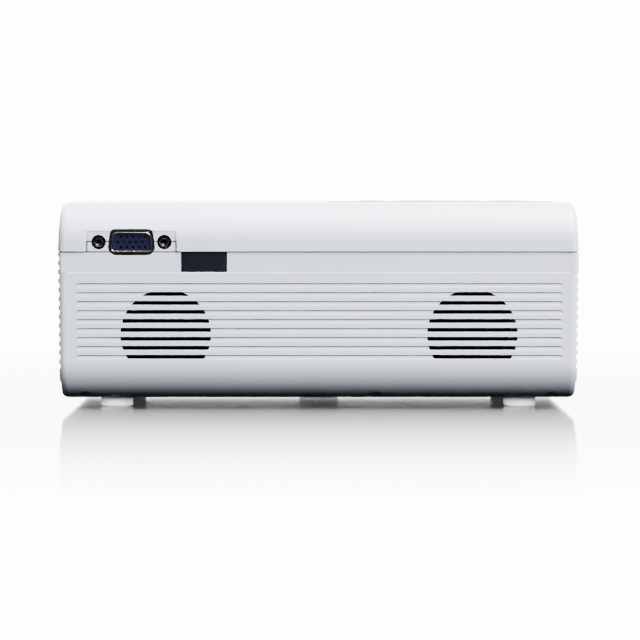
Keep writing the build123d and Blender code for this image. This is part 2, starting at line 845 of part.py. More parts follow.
with BuildPart() as key_ok:
    stem_bottom = keypad_board_z + switch_height + key_travel + 0.05
    with BuildSketch(Plane.XY.offset(stem_bottom)):
        with Locations((keypad_x, keypad_y)):
            Circle(ok_radius)
    extrude(amount=panel_top_z + key_rise - stem_bottom)
    fillet(key_ok.faces().sort_by(Axis.Z)[-1].edges(), 0.3)
    with BuildSketch(Plane.XY.offset(stem_bottom)):
        with Locations((keypad_x, keypad_y)):
            Circle(ok_radius + 2 * key_flange)
    extrude(amount=key_flange)
key_ok.part.label = "key_ok"
export_step(key_ok.part, "parts/key_ok.step")

switch_spots = side_key_spots + [(keypad_x, keypad_y)]
for direction in (0, 90, 180, 270):
    spot = Vector(keypad_x, keypad_y) + Vector(arrow_stem, 0).rotate(Axis.Z, direction)
    switch_spots.append((spot.X, spot.Y))
with BuildPart() as keypad_board:
    with BuildSketch(Plane.XY.offset(keypad_board_z - board_thickness)):
        with Locations((keypad_x, keypad_y)):
            RectangleRounded(panel_width + 2 * board_post_radius - 1, panel_length + 8, 2.0)
    extrude(amount=board_thickness)
    with BuildSketch(Plane.XY.offset(keypad_board_z)):
        with Locations(*switch_spots):
            Rectangle(switch_size, switch_size)
    extrude(amount=switch_height - 0.6)
    with BuildSketch(Plane.XY.offset(keypad_board_z)):
        with Locations(*switch_spots):
            Circle(1.2)
    extrude(amount=switch_height)
keypad_board.part.label = "keypad_board"
export_step(keypad_board.part, "parts/keypad_board.step")


# Loudspeakers behind the two grilles
with BuildPart() as speaker_form:
    with BuildSketch(Plane.XZ):
        with BuildLine():
            Polyline(
                (cone_rim, 0),
                (speaker_radius, 0),
                (speaker_radius, 1.2),
                (cone_rim + 0.6, 1.2),
                (magnet_radius, speaker_depth - magnet_height - 1),
                (magnet_radius, speaker_depth),
                (0, speaker_depth),
                (0, speaker_depth - magnet_height),
                (magnet_radius - 2, speaker_depth - magnet_height - 1),
                close=True,
            )
        make_face()
    revolve(axis=Axis.Z)
    with BuildSketch(Plane.XY.offset(1.6)):
        with PolarLocations((cone_rim + magnet_radius) / 2, 4, start_angle=45):
            Rectangle(cone_rim - magnet_radius - 2, 7)
    extrude(amount=speaker_depth - magnet_height - 2.6, mode=Mode.SUBTRACT)

with BuildPart() as cone_form:
    with BuildSketch(Plane.XZ):
        with BuildLine():
            Polyline(
                (cone_rim - 0.4, 0),
                (cone_rim - 0.4, 0.4),
                (6, 5.2),
                (5, 4.0),
                (0, 3.2),
                (0, 2.6),
                (5.3, 3.4),
                (6.2, 4.4),
                (cone_rim - 3.0, 0.5),
                (cone_rim - 2.0, 0),
                close=True,
            )
        make_face()
    revolve(axis=Axis.Z)

for name, side in (("left", -1), ("right", 1)):
    back_plane = Plane(
        origin=(side * speaker_x, rear_wall_y + cloth_thickness, speaker_mount_z),
        x_dir=(1, 0, 0),
        z_dir=(0, 1, 0),
    )
    with BuildPart() as speaker:
        with Locations(back_plane.location):
            add(speaker_form.part)
    speaker.part.label = name + "_speaker"
    export_step(speaker.part, "parts/" + name + "_speaker.step")
    with BuildPart() as cone:
        with Locations(back_plane.location):
            add(cone_form.part)
    cone.part.label = name + "_speaker_cone"
    export_step(cone.part, "parts/" + name + "_speaker_cone.step")

with BuildPart() as grille_cloths:
    with BuildSketch(rear_plane(rear_wall_y)):
        with Locations((-speaker_x, speaker_mount_z), (speaker_x, speaker_mount_z)):
            Circle(speaker_radius)
    extrude(amount=-cloth_thickness)
grille_cloths.part.label = "grille_cloths"
export_step(grille_cloths.part, "parts/grille_cloths.step")


# VGA socket: housing behind the wall, metal shell, insert with fifteen holes, two standoffs
with BuildPart() as vga_housing:
    with BuildSketch(rear_plane(rear_wall_y + vga_setback)):
        with Locations((vga_x, vga_z)):
            Rectangle(vga_screw_pitch + vga_ear, 2 * (vga_z - main_board_z) - fit)
    extrude(amount=-vga_depth)
    front_width = vga_hole_width - 2 * fit
    front_height = vga_hole_height - 2 * fit
    front = d_sketch(rear_wall_y + vga_setback + 1, front_width, front_height, 2.0, vga_hole_foot)
    extrude(front, amount=vga_setback + 1 + wall - vga_recess)
    cavity = d_sketch(vga_back_y, vga_shell_width, vga_shell_height, 1.6, 1.6)
    extrude(cavity, amount=2 * outside, mode=Mode.SUBTRACT)
    with BuildSketch(rear_plane(rear_wall_y + vga_setback + 3)):
        with Locations(*vga_screw_spots):
            Circle(1.6)
    extrude(amount=outside, mode=Mode.SUBTRACT)
vga_housing.part.label = "vga_housing"
export_step(vga_housing.part, "parts/vga_housing.step")

with BuildPart() as vga_shell:
    outer = d_sketch(vga_back_y, vga_shell_width, vga_shell_height, 1.6, 1.6)
    extrude(outer, amount=vga_back_y - rear_y - 0.4)
    inner = d_sketch(
        vga_back_y, vga_shell_width - 2 * vga_metal, vga_shell_height - 2 * vga_metal, 1.2, 1.2
    )
    extrude(inner, amount=2 * outside, mode=Mode.SUBTRACT)
vga_shell.part.label = "vga_shell"
export_step(vga_shell.part, "parts/vga_shell.step")

with BuildPart() as vga_insert:
    foot = d_sketch(
        vga_back_y, vga_shell_width - 2 * vga_metal, vga_shell_height - 2 * vga_metal, 1.2, 1.2
    )
    extrude(foot, amount=1.2)
    block_gap = 2 * (vga_metal + vga_insert_gap)
    block = d_sketch(
        vga_back_y, vga_shell_width - block_gap, vga_shell_height - block_gap, 1.0, 1.0
    )
    extrude(block, amount=vga_back_y - rear_y - vga_recess)
    with BuildSketch(rear_plane(rear_wall_y + vga_setback)):
        for row in (-1, 0, 1):
            shift = vga_pin_pitch / 4 if row else -vga_pin_pitch / 4
            with Locations((vga_x + shift, vga_z - row * vga_row_pitch)):
                with GridLocations(vga_pin_pitch, 1, 5, 1):
                    Circle(0.5)
    extrude(amount=outside, mode=Mode.SUBTRACT)
vga_insert.part.label = "vga_insert"
export_step(vga_insert.part, "parts/vga_insert.step")

with BuildPart() as vga_standoffs:
    with BuildSketch(rear_plane(rear_wall_y + vga_setback)):
        with Locations(*vga_screw_spots):
            RegularPolygon(standoff_radius, 6)
    extrude(amount=vga_setback + wall - 0.8)
    chamfer(vga_standoffs.edges().group_by(Axis.Y)[0], standoff_chamfer)
    with BuildSketch(rear_plane(rear_wall_y + vga_setback + 3)):
        with Locations(*vga_screw_spots):
            Circle(1.55)
    extrude(amount=3)
    with BuildSketch(rear_plane(rear_wall_y + vga_setback + 2)):
        with Locations(*vga_screw_spots):
            Circle(standoff_bore)
    extrude(amount=outside, mode=Mode.SUBTRACT)
    mouths = vga_standoffs.edges().filter_by(GeomType.CIRCLE).group_by(Axis.Y)[0]
    chamfer(mouths, standoff_chamfer)
vga_standoffs.part.label = "vga_standoffs"
export_step(vga_standoffs.part, "parts/vga_standoffs.step")


# Main board with its chips, and the sockets along the left side
board_left = main_board_left_x
board_centre = ((board_left + main_board_right_x) / 2, (main_board_rear_y + main_board_front_y) / 2)
with BuildPart() as main_board:
    with BuildSketch(Plane.XY.offset(main_board_z - board_thickness)):
        with Locations(board_centre):
            Rectangle(main_board_right_x - board_left, main_board_front_y - main_board_rear_y)
        with Locations(screw_spots[0]):
            Circle(slim_post_radius + 0.6, mode=Mode.SUBTRACT)
            Rectangle(20, 2 * slim_post_radius + 1.2, align=(Align.MAX, Align.CENTER), mode=Mode.SUBTRACT)
        with Locations(*board_post_spots):
            Circle(1.2, mode=Mode.SUBTRACT)
    extrude(amount=board_thickness)
main_board.part.label = "main_board"
export_step(main_board.part, "parts/main_board.step")

with BuildPart() as board_chips:
    with BuildSketch(Plane.XY.offset(main_board_z)):
        with Locations((board_centre[0] + 4, board_centre[1])):
            Rectangle(14, 14)
        with Locations((board_centre[0] + 24, board_centre[1])):
            Rectangle(10, 8)
    extrude(amount=1.6)
    with BuildSketch(Plane.XY.offset(main_board_z)):
        with Locations((board_centre[0] + 26, board_centre[1] + 22)):
            Rectangle(7, 7)
    extrude(amount=4.0)
    with BuildSketch(Plane.XY.offset(main_board_z)):
        with Locations((board_centre[0] + 2, board_centre[1] + 22), (board_centre[0] + 14, board_centre[1] + 22)):
            Circle(4)
    extrude(amount=11.0)
    # Remote control receiver under the board, behind its window
    with BuildSketch(Plane.XY.offset(main_board_z - board_thickness)):
        with Locations((rear_window_x, main_board_rear_y + 4)):
            Rectangle(7, 5)
    extrude(amount=-7.0)
board_chips.part.label = "board_chips"
export_step(board_chips.part, "parts/board_chips.step")


def side_box(y, width, height, depth, corner):
    """Block of a socket on the main board, with its mouth in the left wall."""
    with BuildPart() as block:
        with BuildSketch(Plane.YZ.offset(-case_width / 2 + socket_recess)):
            with Locations((y, main_board_z + height / 2)):
                RectangleRounded(width, height, corner)
        extrude(amount=depth)
    return block.part


with BuildPart() as hdmi_socket:
    add(side_box(hdmi_y, hdmi_width, hdmi_height, hdmi_depth, 0.6))
    with BuildSketch(Plane.YZ.offset(-case_width / 2 + socket_recess)):
        with Locations((hdmi_y, main_board_z + hdmi_height / 2)):
            RectangleRounded(hdmi_width - 0.9, hdmi_height - 0.9, 0.4)
            with Locations((0, 0.3)):
                Rectangle(hdmi_width - 3, 0.9, mode=Mode.SUBTRACT)
    extrude(amount=hdmi_depth - 2, mode=Mode.SUBTRACT)
hdmi_socket.part.label = "hdmi_socket"
export_step(hdmi_socket.part, "parts/hdmi_socket.step")

with BuildPart() as usb_socket:
    add(side_box(usb_y, usb_width, usb_height, usb_depth, 0.3))
    with BuildSketch(Plane.YZ.offset(-case_width / 2 + socket_recess)):
        with Locations((usb_y, main_board_z + usb_height / 2)):
            Rectangle(usb_width - 0.7, usb_height - 0.7)
            with Locations((0, 1.2)):
                Rectangle(usb_width - 2.4, 1.8, mode=Mode.SUBTRACT)
    extrude(amount=usb_depth - 3, mode=Mode.SUBTRACT)
usb_socket.part.label = "usb_socket"
export_step(usb_socket.part, "parts/usb_socket.step")

with BuildPart() as card_slot:
    add(side_box(card_y, card_width, card_height, card_depth, 0.2))
    with BuildSketch(Plane.YZ.offset(-case_width / 2 + socket_recess)):
        with Locations((card_y, main_board_z + card_height / 2)):
            Rectangle(card_width - 1.2, card_height - 0.8)
    extrude(amount=card_depth - 1, mode=Mode.SUBTRACT)
card_slot.part.label = "card_slot"
export_step(card_slot.part, "parts/card_slot.step")

with BuildPart() as av_jack:
    with BuildSketch(Plane.YZ.offset(-case_width / 2 + wall + 0.4)):
        with Locations((av_y, main_board_z + av_size / 2)):
            Rectangle(av_size, av_size)
    extrude(amount=av_depth)
    with BuildSketch(Plane.YZ.offset(-case_width / 2 + socket_recess)):
        with Locations((av_y, main_board_z + av_size / 2)):
            Circle(av_collar_radius)
    extrude(amount=wall)
    with BuildSketch(Plane.YZ.offset(-case_width / 2)):
        with Locations((av_y, main_board_z + av_size / 2)):
            Circle(av_bore_radius)
    extrude(amount=av_depth, mode=Mode.SUBTRACT)
av_jack.part.label = "av_jack"
export_step(av_jack.part, "parts/av_jack.step")


# Mains inlet with its two pins, and the power board that carries it
inlet_face_x = side_x(inlet_z) - inlet_recess
with BuildPart() as mains_inlet:
    with BuildSketch(Plane.YZ.offset(inlet_face_x)):
        with Locations((inlet_y, inlet_z)):
            RectangleRounded(inlet_width, inlet_height, 2.5)
    extrude(amount=-inlet_depth)
    with BuildSketch(Plane.YZ.offset(inlet_face_x)):
        with Locations((inlet_y, inlet_z)):
            SlotCenterToCenter(pin_pitch, 7.8)
    extrude(amount=-inlet_depth + 3, mode=Mode.SUBTRACT)
    with BuildSketch(Plane.YZ.offset(inlet_face_x - inlet_depth)):
        with Locations((inlet_y, (power_board_z + inlet_z) / 2)):
            Rectangle(inlet_width - 4, inlet_z - power_board_z)
    extrude(amount=-4)
mains_inlet.part.label = "mains_inlet"
export_step(mains_inlet.part, "parts/mains_inlet.step")

with BuildPart() as inlet_pins:
    with BuildSketch(Plane.YZ.offset(inlet_face_x - inlet_depth + 3)):
        with Locations((inlet_y, inlet_z)):
            with GridLocations(pin_pitch, 1, 2, 1):
                Circle(1.2)
    extrude(amount=inlet_depth - 4.5)
inlet_pins.part.label = "inlet_pins"
export_step(inlet_pins.part, "parts/inlet_pins.step")

with BuildPart() as power_board:
    with BuildSketch(Plane.XY.offset(power_board_z - board_thickness)):
        with Locations((power_board_x, power_board_y)):
            Rectangle(power_board_width, power_board_length)
        with Locations(*power_post_spots):
            Circle(1.2, mode=Mode.SUBTRACT)
    extrude(amount=board_thickness)
power_board.part.label = "power_board"
export_step(power_board.part, "parts/power_board.step")

with BuildPart() as power_parts:
    with BuildSketch(Plane.XY.offset(power_board_z)):
        with Locations((power_board_x - 8, power_board_y)):
            Rectangle(17, 20)
    extrude(amount=18.0)
    with BuildSketch(Plane.XY.offset(power_board_z)):
        with Locations((power_board_x + 6, power_board_y + 8)):
            Circle(5)
        with Locations((power_board_x - 20, power_board_y - 12), (power_board_x - 20, power_board_y + 12)):
            Circle(3.5)
    extrude(amount=20.0)
    with BuildSketch(Plane.XY.offset(power_board_z)):
        with Locations((power_board_x + 6, power_board_y - 9)):
            Rectangle(8, 12)
    extrude(amount=8.0)
power_parts.part.label = "power_parts"
export_step(power_parts.part, "parts/power_parts.step")


# Light path: the LED on its heat sink, the duct to the LCD and the box of the mirror
with BuildPart() as led_module:
    with BuildSketch(Plane.YZ.offset(led_x)):
        with Locations((light_y, axis_z)):
            Rectangle(led_plate, led_plate)
    extrude(amount=led_thickness)
    with BuildSketch(Plane.YZ.offset(led_x)):
        with Locations((light_y, axis_z)):
            Circle(9)
    extrude(amount=-1.5)
    # Collar that carries the condenser lens
    with BuildSketch(Plane.YZ.offset(led_x)):
        with Locations((light_y, axis_z)):
            Circle(condenser_radius + 1)
            Circle(condenser_radius - 1.5, mode=Mode.SUBTRACT)
    extrude(amount=rest_gap - condenser_stand)
led_module.part.label = "led_module"
export_step(led_module.part, "parts/led_module.step")

sink_x = led_x + led_thickness
fin_pitch = (heat_sink_size - fin_thickness) / (fin_count - 1)
with BuildPart() as heat_sink:
    with BuildSketch(Plane.YZ.offset(sink_x)):
        with Locations((light_y, axis_z)):
            Rectangle(heat_sink_size, heat_sink_size)
    extrude(amount=4.0)
    with BuildSketch(Plane.YZ.offset(sink_x)):
        with Locations((light_y, axis_z)):
            with GridLocations(fin_pitch, 1, fin_count, 1):
                Rectangle(fin_thickness, heat_sink_size)
    extrude(amount=heat_sink_depth)
heat_sink.part.label = "heat_sink"
export_step(heat_sink.part, "parts/heat_sink.step")

half_way = cap_depth(condenser_radius, condenser_bulge, condenser_radius / 2)
with BuildPart() as condenser_lens:
    with BuildSketch(Plane.XZ):
        with BuildLine():
            Line((0, 0), (condenser_radius, 0))
            Line((condenser_radius, 0), (condenser_radius, condenser_edge))
            ThreePointArc(
                (condenser_radius, condenser_edge),
                (condenser_radius / 2, condenser_edge + half_way),
                (0, condenser_edge + condenser_bulge),
            )
            Line((0, condenser_edge + condenser_bulge), (0, 0))
        make_face()
    revolve(axis=Axis.Z)
condenser_place = Location((led_x - condenser_stand, light_y, axis_z), (0, -90, 0))
condenser = condenser_lens.part.moved(condenser_place)
condenser.label = "condenser_lens"
export_step(condenser, "parts/condenser_lens.step")

frame_right_x = lcd_frame_x + lcd_frame_depth


def duct_form(inset):
    """Tapered duct between the LED and the LCD frame."""
    with BuildPart() as duct:
        with BuildSketch(Plane.YZ.offset(frame_right_x)):
            with Locations((light_y, axis_z)):
                Rectangle(lcd_width + 2 * duct_wall - 2 * inset, lcd_height + 2 * duct_wall - 2 * inset)
        with BuildSketch(Plane.YZ.offset(led_x)):
            with Locations((light_y, axis_z)):
                Rectangle(led_opening + 2 * duct_wall - 2 * inset, led_opening + 2 * duct_wall - 2 * inset)
        loft()
    return duct.part


with BuildPart() as light_tunnel:
    add(duct_form(0))
    add(duct_form(duct_wall), mode=Mode.SUBTRACT)
light_tunnel.part.label = "light_tunnel"
export_step(light_tunnel.part, "parts/light_tunnel.step")

# Plates of the LCD frame: name, place along the light path and thickness
plates = (
    ("front_fresnel", 1.5, 2.0),
    ("lcd_panel", 5.0, 3.0),
    ("heat_glass", 9.8, 1.1),
    ("rear_fresnel", 12.5, 2.0),
)
with BuildPart() as lcd_frame:
    with BuildSketch(Plane.YZ.offset(lcd_frame_x)):
        with Locations((light_y, axis_z)):
            Rectangle(lcd_frame_width, 2 * (axis_z - floor_z))
            Rectangle(lcd_window_width, lcd_window_height, mode=Mode.SUBTRACT)
    extrude(amount=lcd_frame_depth)
    for name, place, thickness in plates:
        with BuildSketch(Plane.YZ.offset(lcd_frame_x + place - fit)):
            with Locations((light_y, axis_z - lcd_height / 2 - fit)):
                Rectangle(lcd_width + 2 * fit, case_height, align=(Align.CENTER, Align.MIN))
        extrude(amount=thickness + 2 * fit, mode=Mode.SUBTRACT)
lcd_frame.part.label = "lcd_frame"
export_step(lcd_frame.part, "parts/lcd_frame.step")

for name, place, thickness in plates:
    with BuildPart() as plate:
        with BuildSketch(Plane.YZ.offset(lcd_frame_x + place)):
            with Locations((light_y, axis_z)):
                Rectangle(lcd_width, lcd_height)
        extrude(amount=thickness)
    plate.part.label = name
    export_step(plate.part, "parts/" + name + ".step")


def mirror_box_form(inset):
    """Box round the mirror: a five-sided plan, lower behind the mirror than at the LCD."""
    half = (lcd_frame_width - 2) / 2 - inset
    back = (mirror_thickness + rest_gap + duct_wall - inset) * math.sqrt(2)
    front = lens_mount_y - inset
    left = lens_x - 33.0 + inset
    with BuildPart() as box:
        with BuildSketch(Plane.XY):
            with BuildLine():
                Polyline(
                    (lcd_frame_x, light_y - half),
                    (lcd_frame_x, light_y + half),
                    (lcd_frame_x - 20.0, front),
                    (left, front),
                    (left, light_y + lens_x - back - left),
                    (lens_x - back + half, light_y - half),
                    close=True,
                )
            make_face()
        extrude(amount=case_height)
        with BuildSketch(Plane.XZ):
            with BuildLine():
                Polyline(
                    (lcd_frame_x, axis_z + mirror_mouth - inset),
                    (lcd_frame_x - 24.0, axis_z + mirror_half_height - inset),
                    (left, axis_z + mirror_half_height - inset),
                    (left, axis_z - mirror_half_height + inset),
                    (lcd_frame_x - 24.0, axis_z - mirror_half_height + inset),
                    (lcd_frame_x, axis_z - mirror_mouth + inset),
                    close=True,
                )
            make_face()
        extrude(amount=case_depth, both=True, mode=Mode.INTERSECT)
    return box.part


with BuildPart() as mirror_box:
    add(mirror_box_form(0))
    add(mirror_box_form(duct_wall), mode=Mode.SUBTRACT)
    with BuildSketch(rear_plane(lens_mount_y + outside)):
        with Locations((lens_x, axis_z)):
            Circle(mount_outer_radius - mount_wall)
    extrude(amount=outside + duct_wall + 1, mode=Mode.SUBTRACT)
    # Legs that stand on the floor of the case
    with BuildSketch(Plane.XY.offset(floor_z)):
        with Locations(*mirror_leg_spots):
            Circle(3)
    extrude(amount=axis_z - mirror_half_height - floor_z + duct_wall / 2)
mirror_box.part.label = "mirror_box"
export_step(mirror_box.part, "parts/mirror_box.step")

with BuildPart() as fold_mirror:
    facing = Plane(origin=(lens_x, light_y, axis_z), x_dir=(1, -1, 0), z_dir=(1, 1, 0))
    with BuildSketch(facing):
        Rectangle(mirror_length, 2 * (mirror_half_height - duct_wall) - 2 * fit)
    extrude(amount=-mirror_thickness)
fold_mirror.part.label = "fold_mirror"
export_step(fold_mirror.part, "parts/fold_mirror.step")


# Lens: a mount on the mirror box, the focus ring round it and the barrel that slides in it
ring_rear_y = front_y + lens_reach - ring_length
mount_front_y = front_y + lens_reach - 3.0
mount_inner_radius = mount_outer_radius - mount_wall
barrel_radius = mount_inner_radius - running_gap
barrel_front_y = mount_front_y
pin_y = ring_rear_y + 4.0


def turned(outline):
    """Ring turned about the lens axis from points of radius and place along Y."""
    with BuildPart() as ring:
        with BuildSketch(Plane.XY):
            with BuildLine():
                Polyline(*[(lens_x + radius, y) for radius, y in outline], close=True)
            make_face()
        revolve(axis=Axis((lens_x, 0, 0), (0, 1, 0)))
    return ring.part.moved(Location((0, 0, axis_z)))


with BuildPart() as lens_mount:
    add(
        turned(
            [
                (mount_inner_radius, lens_mount_y),
                (mount_outer_radius + 3, lens_mount_y),
                (mount_outer_radius + 3, lens_mount_y + 3),
                (mount_outer_radius, lens_mount_y + 3),
                (mount_outer_radius, ring_rear_y - 2.0),
                (mount_outer_radius + 2, ring_rear_y - 2.0),
                (mount_outer_radius + 2, ring_rear_y - rest_gap),
                (mount_outer_radius, ring_rear_y - rest_gap),
                (mount_outer_radius, mount_front_y),
                (mount_inner_radius, mount_front_y),
            ]
        )
    )
    # Three straight slots for the barrel's pins
    with BuildSketch(Plane((lens_x, pin_y + focus_travel / 2, axis_z), x_dir=(0, 1, 0), z_dir=(1, 0, 0))):
        SlotCenterToCenter(focus_travel, 2 * pin_radius + 2 * running_gap)
    slot = extrude(amount=2 * outside + mount_outer_radius, mode=Mode.PRIVATE)
    for turn in (0, 120, 240):
        add(slot.rotate(Axis((lens_x, 0, axis_z), (0, 1, 0)), turn), mode=Mode.SUBTRACT)
lens_mount.part.label = "lens_mount"
export_step(lens_mount.part, "parts/lens_mount.step")

with BuildPart() as focus_ring:
    add(
        turned(
            [
                (mount_outer_radius + running_gap, ring_rear_y),
                (ring_outer_radius - 1.2, ring_rear_y),
                (ring_outer_radius - 0.6, ring_rear_y + 0.6),
                (ring_outer_radius - 0.6, ring_rear_y + ring_length - 2),
                (ring_outer_radius - 2.2, ring_rear_y + ring_length),
                (barrel_radius + running_gap, ring_rear_y + ring_length),
                (barrel_radius + running_gap, mount_front_y + 1),
                (mount_outer_radius + running_gap, mount_front_y + 1),
            ]
        )
    )
    with BuildSketch(rear_plane(ring_rear_y + 4)):
        with Locations((lens_x, axis_z)):
            with PolarLocations(ring_outer_radius - 0.7, 36):
                Rectangle(1.4, 2.0)
    extrude(amount=-(ring_length - 7))
focus_ring.part.label = "focus_ring"
export_step(focus_ring.part, "parts/focus_ring.step")

with BuildPart() as lens_barrel:
    add(
        turned(
            [
                (barrel_radius - barrel_wall, barrel_front_y - barrel_length),
                (barrel_radius, barrel_front_y - barrel_length),
                (barrel_radius, barrel_front_y),
                (barrel_radius - 0.8, barrel_front_y),
                (barrel_radius - barrel_wall, barrel_front_y - 2.5),
                (barrel_radius - barrel_wall, barrel_front_y - 10),
                (barrel_radius - barrel_wall - 1.5, barrel_front_y - 10),
                (barrel_radius - barrel_wall - 1.5, barrel_front_y - 12),
                (barrel_radius - barrel_wall, barrel_front_y - 12),
                (barrel_radius - barrel_wall, barrel_front_y - barrel_length + 14),
                (barrel_radius - barrel_wall - 2.5, barrel_front_y - barrel_length + 14),
                (barrel_radius - barrel_wall - 2.5, barrel_front_y - barrel_length + 12),
                (barrel_radius - barrel_wall, barrel_front_y - barrel_length + 12),
            ]
        )
    )
    with BuildSketch(Plane((lens_x, pin_y, axis_z), x_dir=(0, 1, 0), z_dir=(1, 0, 0)).offset(barrel_radius - 1)):
        Circle(pin_radius)
    pin = extrude(amount=mount_wall + 1, mode=Mode.PRIVATE)
    for turn in (0, 120, 240):
        add(pin.rotate(Axis((lens_x, 0, axis_z), (0, 1, 0)), turn))
lens_barrel.part.label = "lens_barrel"
export_step(lens_barrel.part, "parts/lens_barrel.step")


def glass(radius, edge_y, thickness, front_bulge, rear_bulge):
    """Lens with a straight edge and two round faces, on the lens axis."""
    with BuildPart() as element:
        with BuildSketch(Plane.XY):
            with BuildLine():
                front = edge_y + thickness
                Line((lens_x, edge_y - rear_bulge), (lens_x, front + front_bulge))
                ThreePointArc(
                    (lens_x, front + front_bulge),
                    (lens_x + radius / 2, front + cap_depth(radius, front_bulge, radius / 2)),
                    (lens_x + radius, front),
                )
                Line((lens_x + radius, front), (lens_x + radius, edge_y))
                ThreePointArc(
                    (lens_x + radius, edge_y),
                    (lens_x + radius / 2, edge_y - cap_depth(radius, rear_bulge, radius / 2)),
                    (lens_x, edge_y - rear_bulge),
                )
            make_face()
        revolve(axis=Axis((lens_x, 0, 0), (0, 1, 0)))
    return element.part.moved(Location((0, 0, axis_z)))


glass_radius = barrel_radius - barrel_wall - 0.05
with BuildPart() as lens_elements:
    add(glass(glass_radius, barrel_front_y - 10 + rest_gap, 3.0, 3.4, 1.0))
    add(glass(glass_radius, barrel_front_y - 16.5, 3.5, 0.8, 2.4))
    add(glass(glass_radius, barrel_front_y - barrel_length + 6 - rest_gap, 6.0, 0.5, 2.6))
lens_elements.part.label = "lens_elements"
export_step(lens_elements.part, "parts/lens_elements.step")

lens_bezel = turned(
    [
        (lens_opening_radius, front_wall_y - 2),
        (lens_opening_radius + 1.1, front_wall_y - 2),
        (lens_opening_radius + 1.1, front_y - bezel_seat),
        (bezel_radius, front_y - bezel_seat),
        (bezel_radius, front_y - bezel_seat + bezel_flange - 0.8),
        (bezel_radius - 0.8, front_y - bezel_seat + bezel_flange),
        (lens_opening_radius + 0.8, front_y - bezel_seat + bezel_flange),
        (lens_opening_radius, front_y - bezel_seat + bezel_flange - 1.2),
    ]
)
lens_bezel.label = "lens_bezel"
export_step(lens_bezel, "parts/lens_bezel.step")


# Fans: a square frame with three struts and a bearing, and a rotor with pitched blades
with BuildPart() as fan_frame_form:
    with BuildSketch(Plane.XY):
        RectangleRounded(fan_size, fan_size, 3.0)
        Circle(fan_bore, mode=Mode.SUBTRACT)
        with GridLocations(fan_size - 8, fan_size - 8, 2, 2):
            Circle(1.9, mode=Mode.SUBTRACT)
    extrude(amount=fan_depth)
    with BuildSketch(Plane.XY):
        Circle(hub_radius)
        with PolarLocations(hub_radius + 7, 3, start_angle=30):
            Rectangle(16, 3)
    extrude(amount=1.2)
    with BuildSketch(Plane.XY):
        Circle(2.6)
    extrude(amount=7.0)
    with BuildSketch(Plane.XY.offset(1.2)):
        Circle(shaft_radius + 0.1)
    extrude(amount=fan_depth, mode=Mode.SUBTRACT)

with BuildPart() as fan_rotor_form:
    with BuildSketch(Plane.XY.offset(1.6)):
        Circle(hub_radius - 0.4)
        Circle(hub_radius - 1.4, mode=Mode.SUBTRACT)
    extrude(amount=fan_depth - 2.4)
    with BuildSketch(Plane.XY.offset(fan_depth - 1.8)):
        Circle(hub_radius - 0.4)
    extrude(amount=1.0)
    with BuildSketch(Plane.XY.offset(2.0)):
        Circle(shaft_radius)
    extrude(amount=fan_depth - 3)
    for number in range(blade_count):
        outward = Vector(1, 0, 0).rotate(Axis.Z, 360 / blade_count * number)
        for radius, chord, pitch in (
            (hub_radius - 0.9, root_chord, blade_pitch),
            (fan_bore - 1.1, tip_chord, blade_pitch + blade_twist),
        ):
            middle = outward * radius + Vector(0, 0, fan_depth / 2 + 0.2)
            with BuildSketch(Plane(origin=middle, x_dir=(0, 0, 1), z_dir=outward)):
                Rectangle(chord, 1.0, rotation=pitch)
        loft()

exhaust_place = Plane(
    origin=(exhaust_fan_x + fan_depth / 2, light_y, axis_z), x_dir=(0, 1, 0), z_dir=(-1, 0, 0)
)
intake_place = Plane(
    origin=(intake_fan_x, intake_fan_y + fan_depth / 2, axis_z), x_dir=(1, 0, 0), z_dir=(0, -1, 0)
)
for name, place in (("exhaust_fan", exhaust_place), ("intake_fan", intake_place)):
    with BuildPart() as fan_frame:
        with Locations(place.location):
            add(fan_frame_form.part)
    fan_frame.part.label = name + "_frame"
    export_step(fan_frame.part, "parts/" + name + "_frame.step")
    with BuildPart() as fan_rotor:
        with Locations(place.location):
            add(fan_rotor_form.part)
    fan_rotor.part.label = name + "_rotor"
    export_step(fan_rotor.part, "parts/" + name + "_rotor.step")
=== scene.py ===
import logging
import math
from dataclasses import dataclass
from enum import Enum
from functools import cache
from typing import Callable, ClassVar, Iterable, Optional

import bmesh
import bpy
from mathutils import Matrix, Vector


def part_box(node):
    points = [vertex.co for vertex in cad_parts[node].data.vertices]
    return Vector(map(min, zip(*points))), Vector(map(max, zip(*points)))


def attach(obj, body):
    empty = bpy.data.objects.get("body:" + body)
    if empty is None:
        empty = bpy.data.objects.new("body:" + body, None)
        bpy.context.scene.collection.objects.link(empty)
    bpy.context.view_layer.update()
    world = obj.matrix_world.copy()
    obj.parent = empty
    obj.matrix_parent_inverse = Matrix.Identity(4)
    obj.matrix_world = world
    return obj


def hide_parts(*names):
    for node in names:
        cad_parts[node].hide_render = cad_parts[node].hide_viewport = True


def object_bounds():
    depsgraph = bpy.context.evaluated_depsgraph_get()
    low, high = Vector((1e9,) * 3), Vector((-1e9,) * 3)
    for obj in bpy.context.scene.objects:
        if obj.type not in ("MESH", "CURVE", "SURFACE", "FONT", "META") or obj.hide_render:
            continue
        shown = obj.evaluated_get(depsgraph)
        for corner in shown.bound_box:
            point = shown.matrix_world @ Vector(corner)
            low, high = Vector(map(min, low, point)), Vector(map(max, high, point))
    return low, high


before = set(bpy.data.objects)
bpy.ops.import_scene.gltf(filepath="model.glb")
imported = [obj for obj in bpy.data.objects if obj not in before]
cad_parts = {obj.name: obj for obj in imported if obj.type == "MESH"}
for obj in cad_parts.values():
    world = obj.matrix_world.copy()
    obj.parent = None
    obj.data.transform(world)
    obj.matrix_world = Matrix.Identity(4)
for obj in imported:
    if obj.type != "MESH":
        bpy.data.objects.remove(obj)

# Box of the CAD model and its back, in metres; other places and sizes are in millimetres unless said
CAD_BOX = [list(corner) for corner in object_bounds()]
BACK_Y = CAD_BOX[0][1]
MM = 0.001
LOG = logging.getLogger("projector")
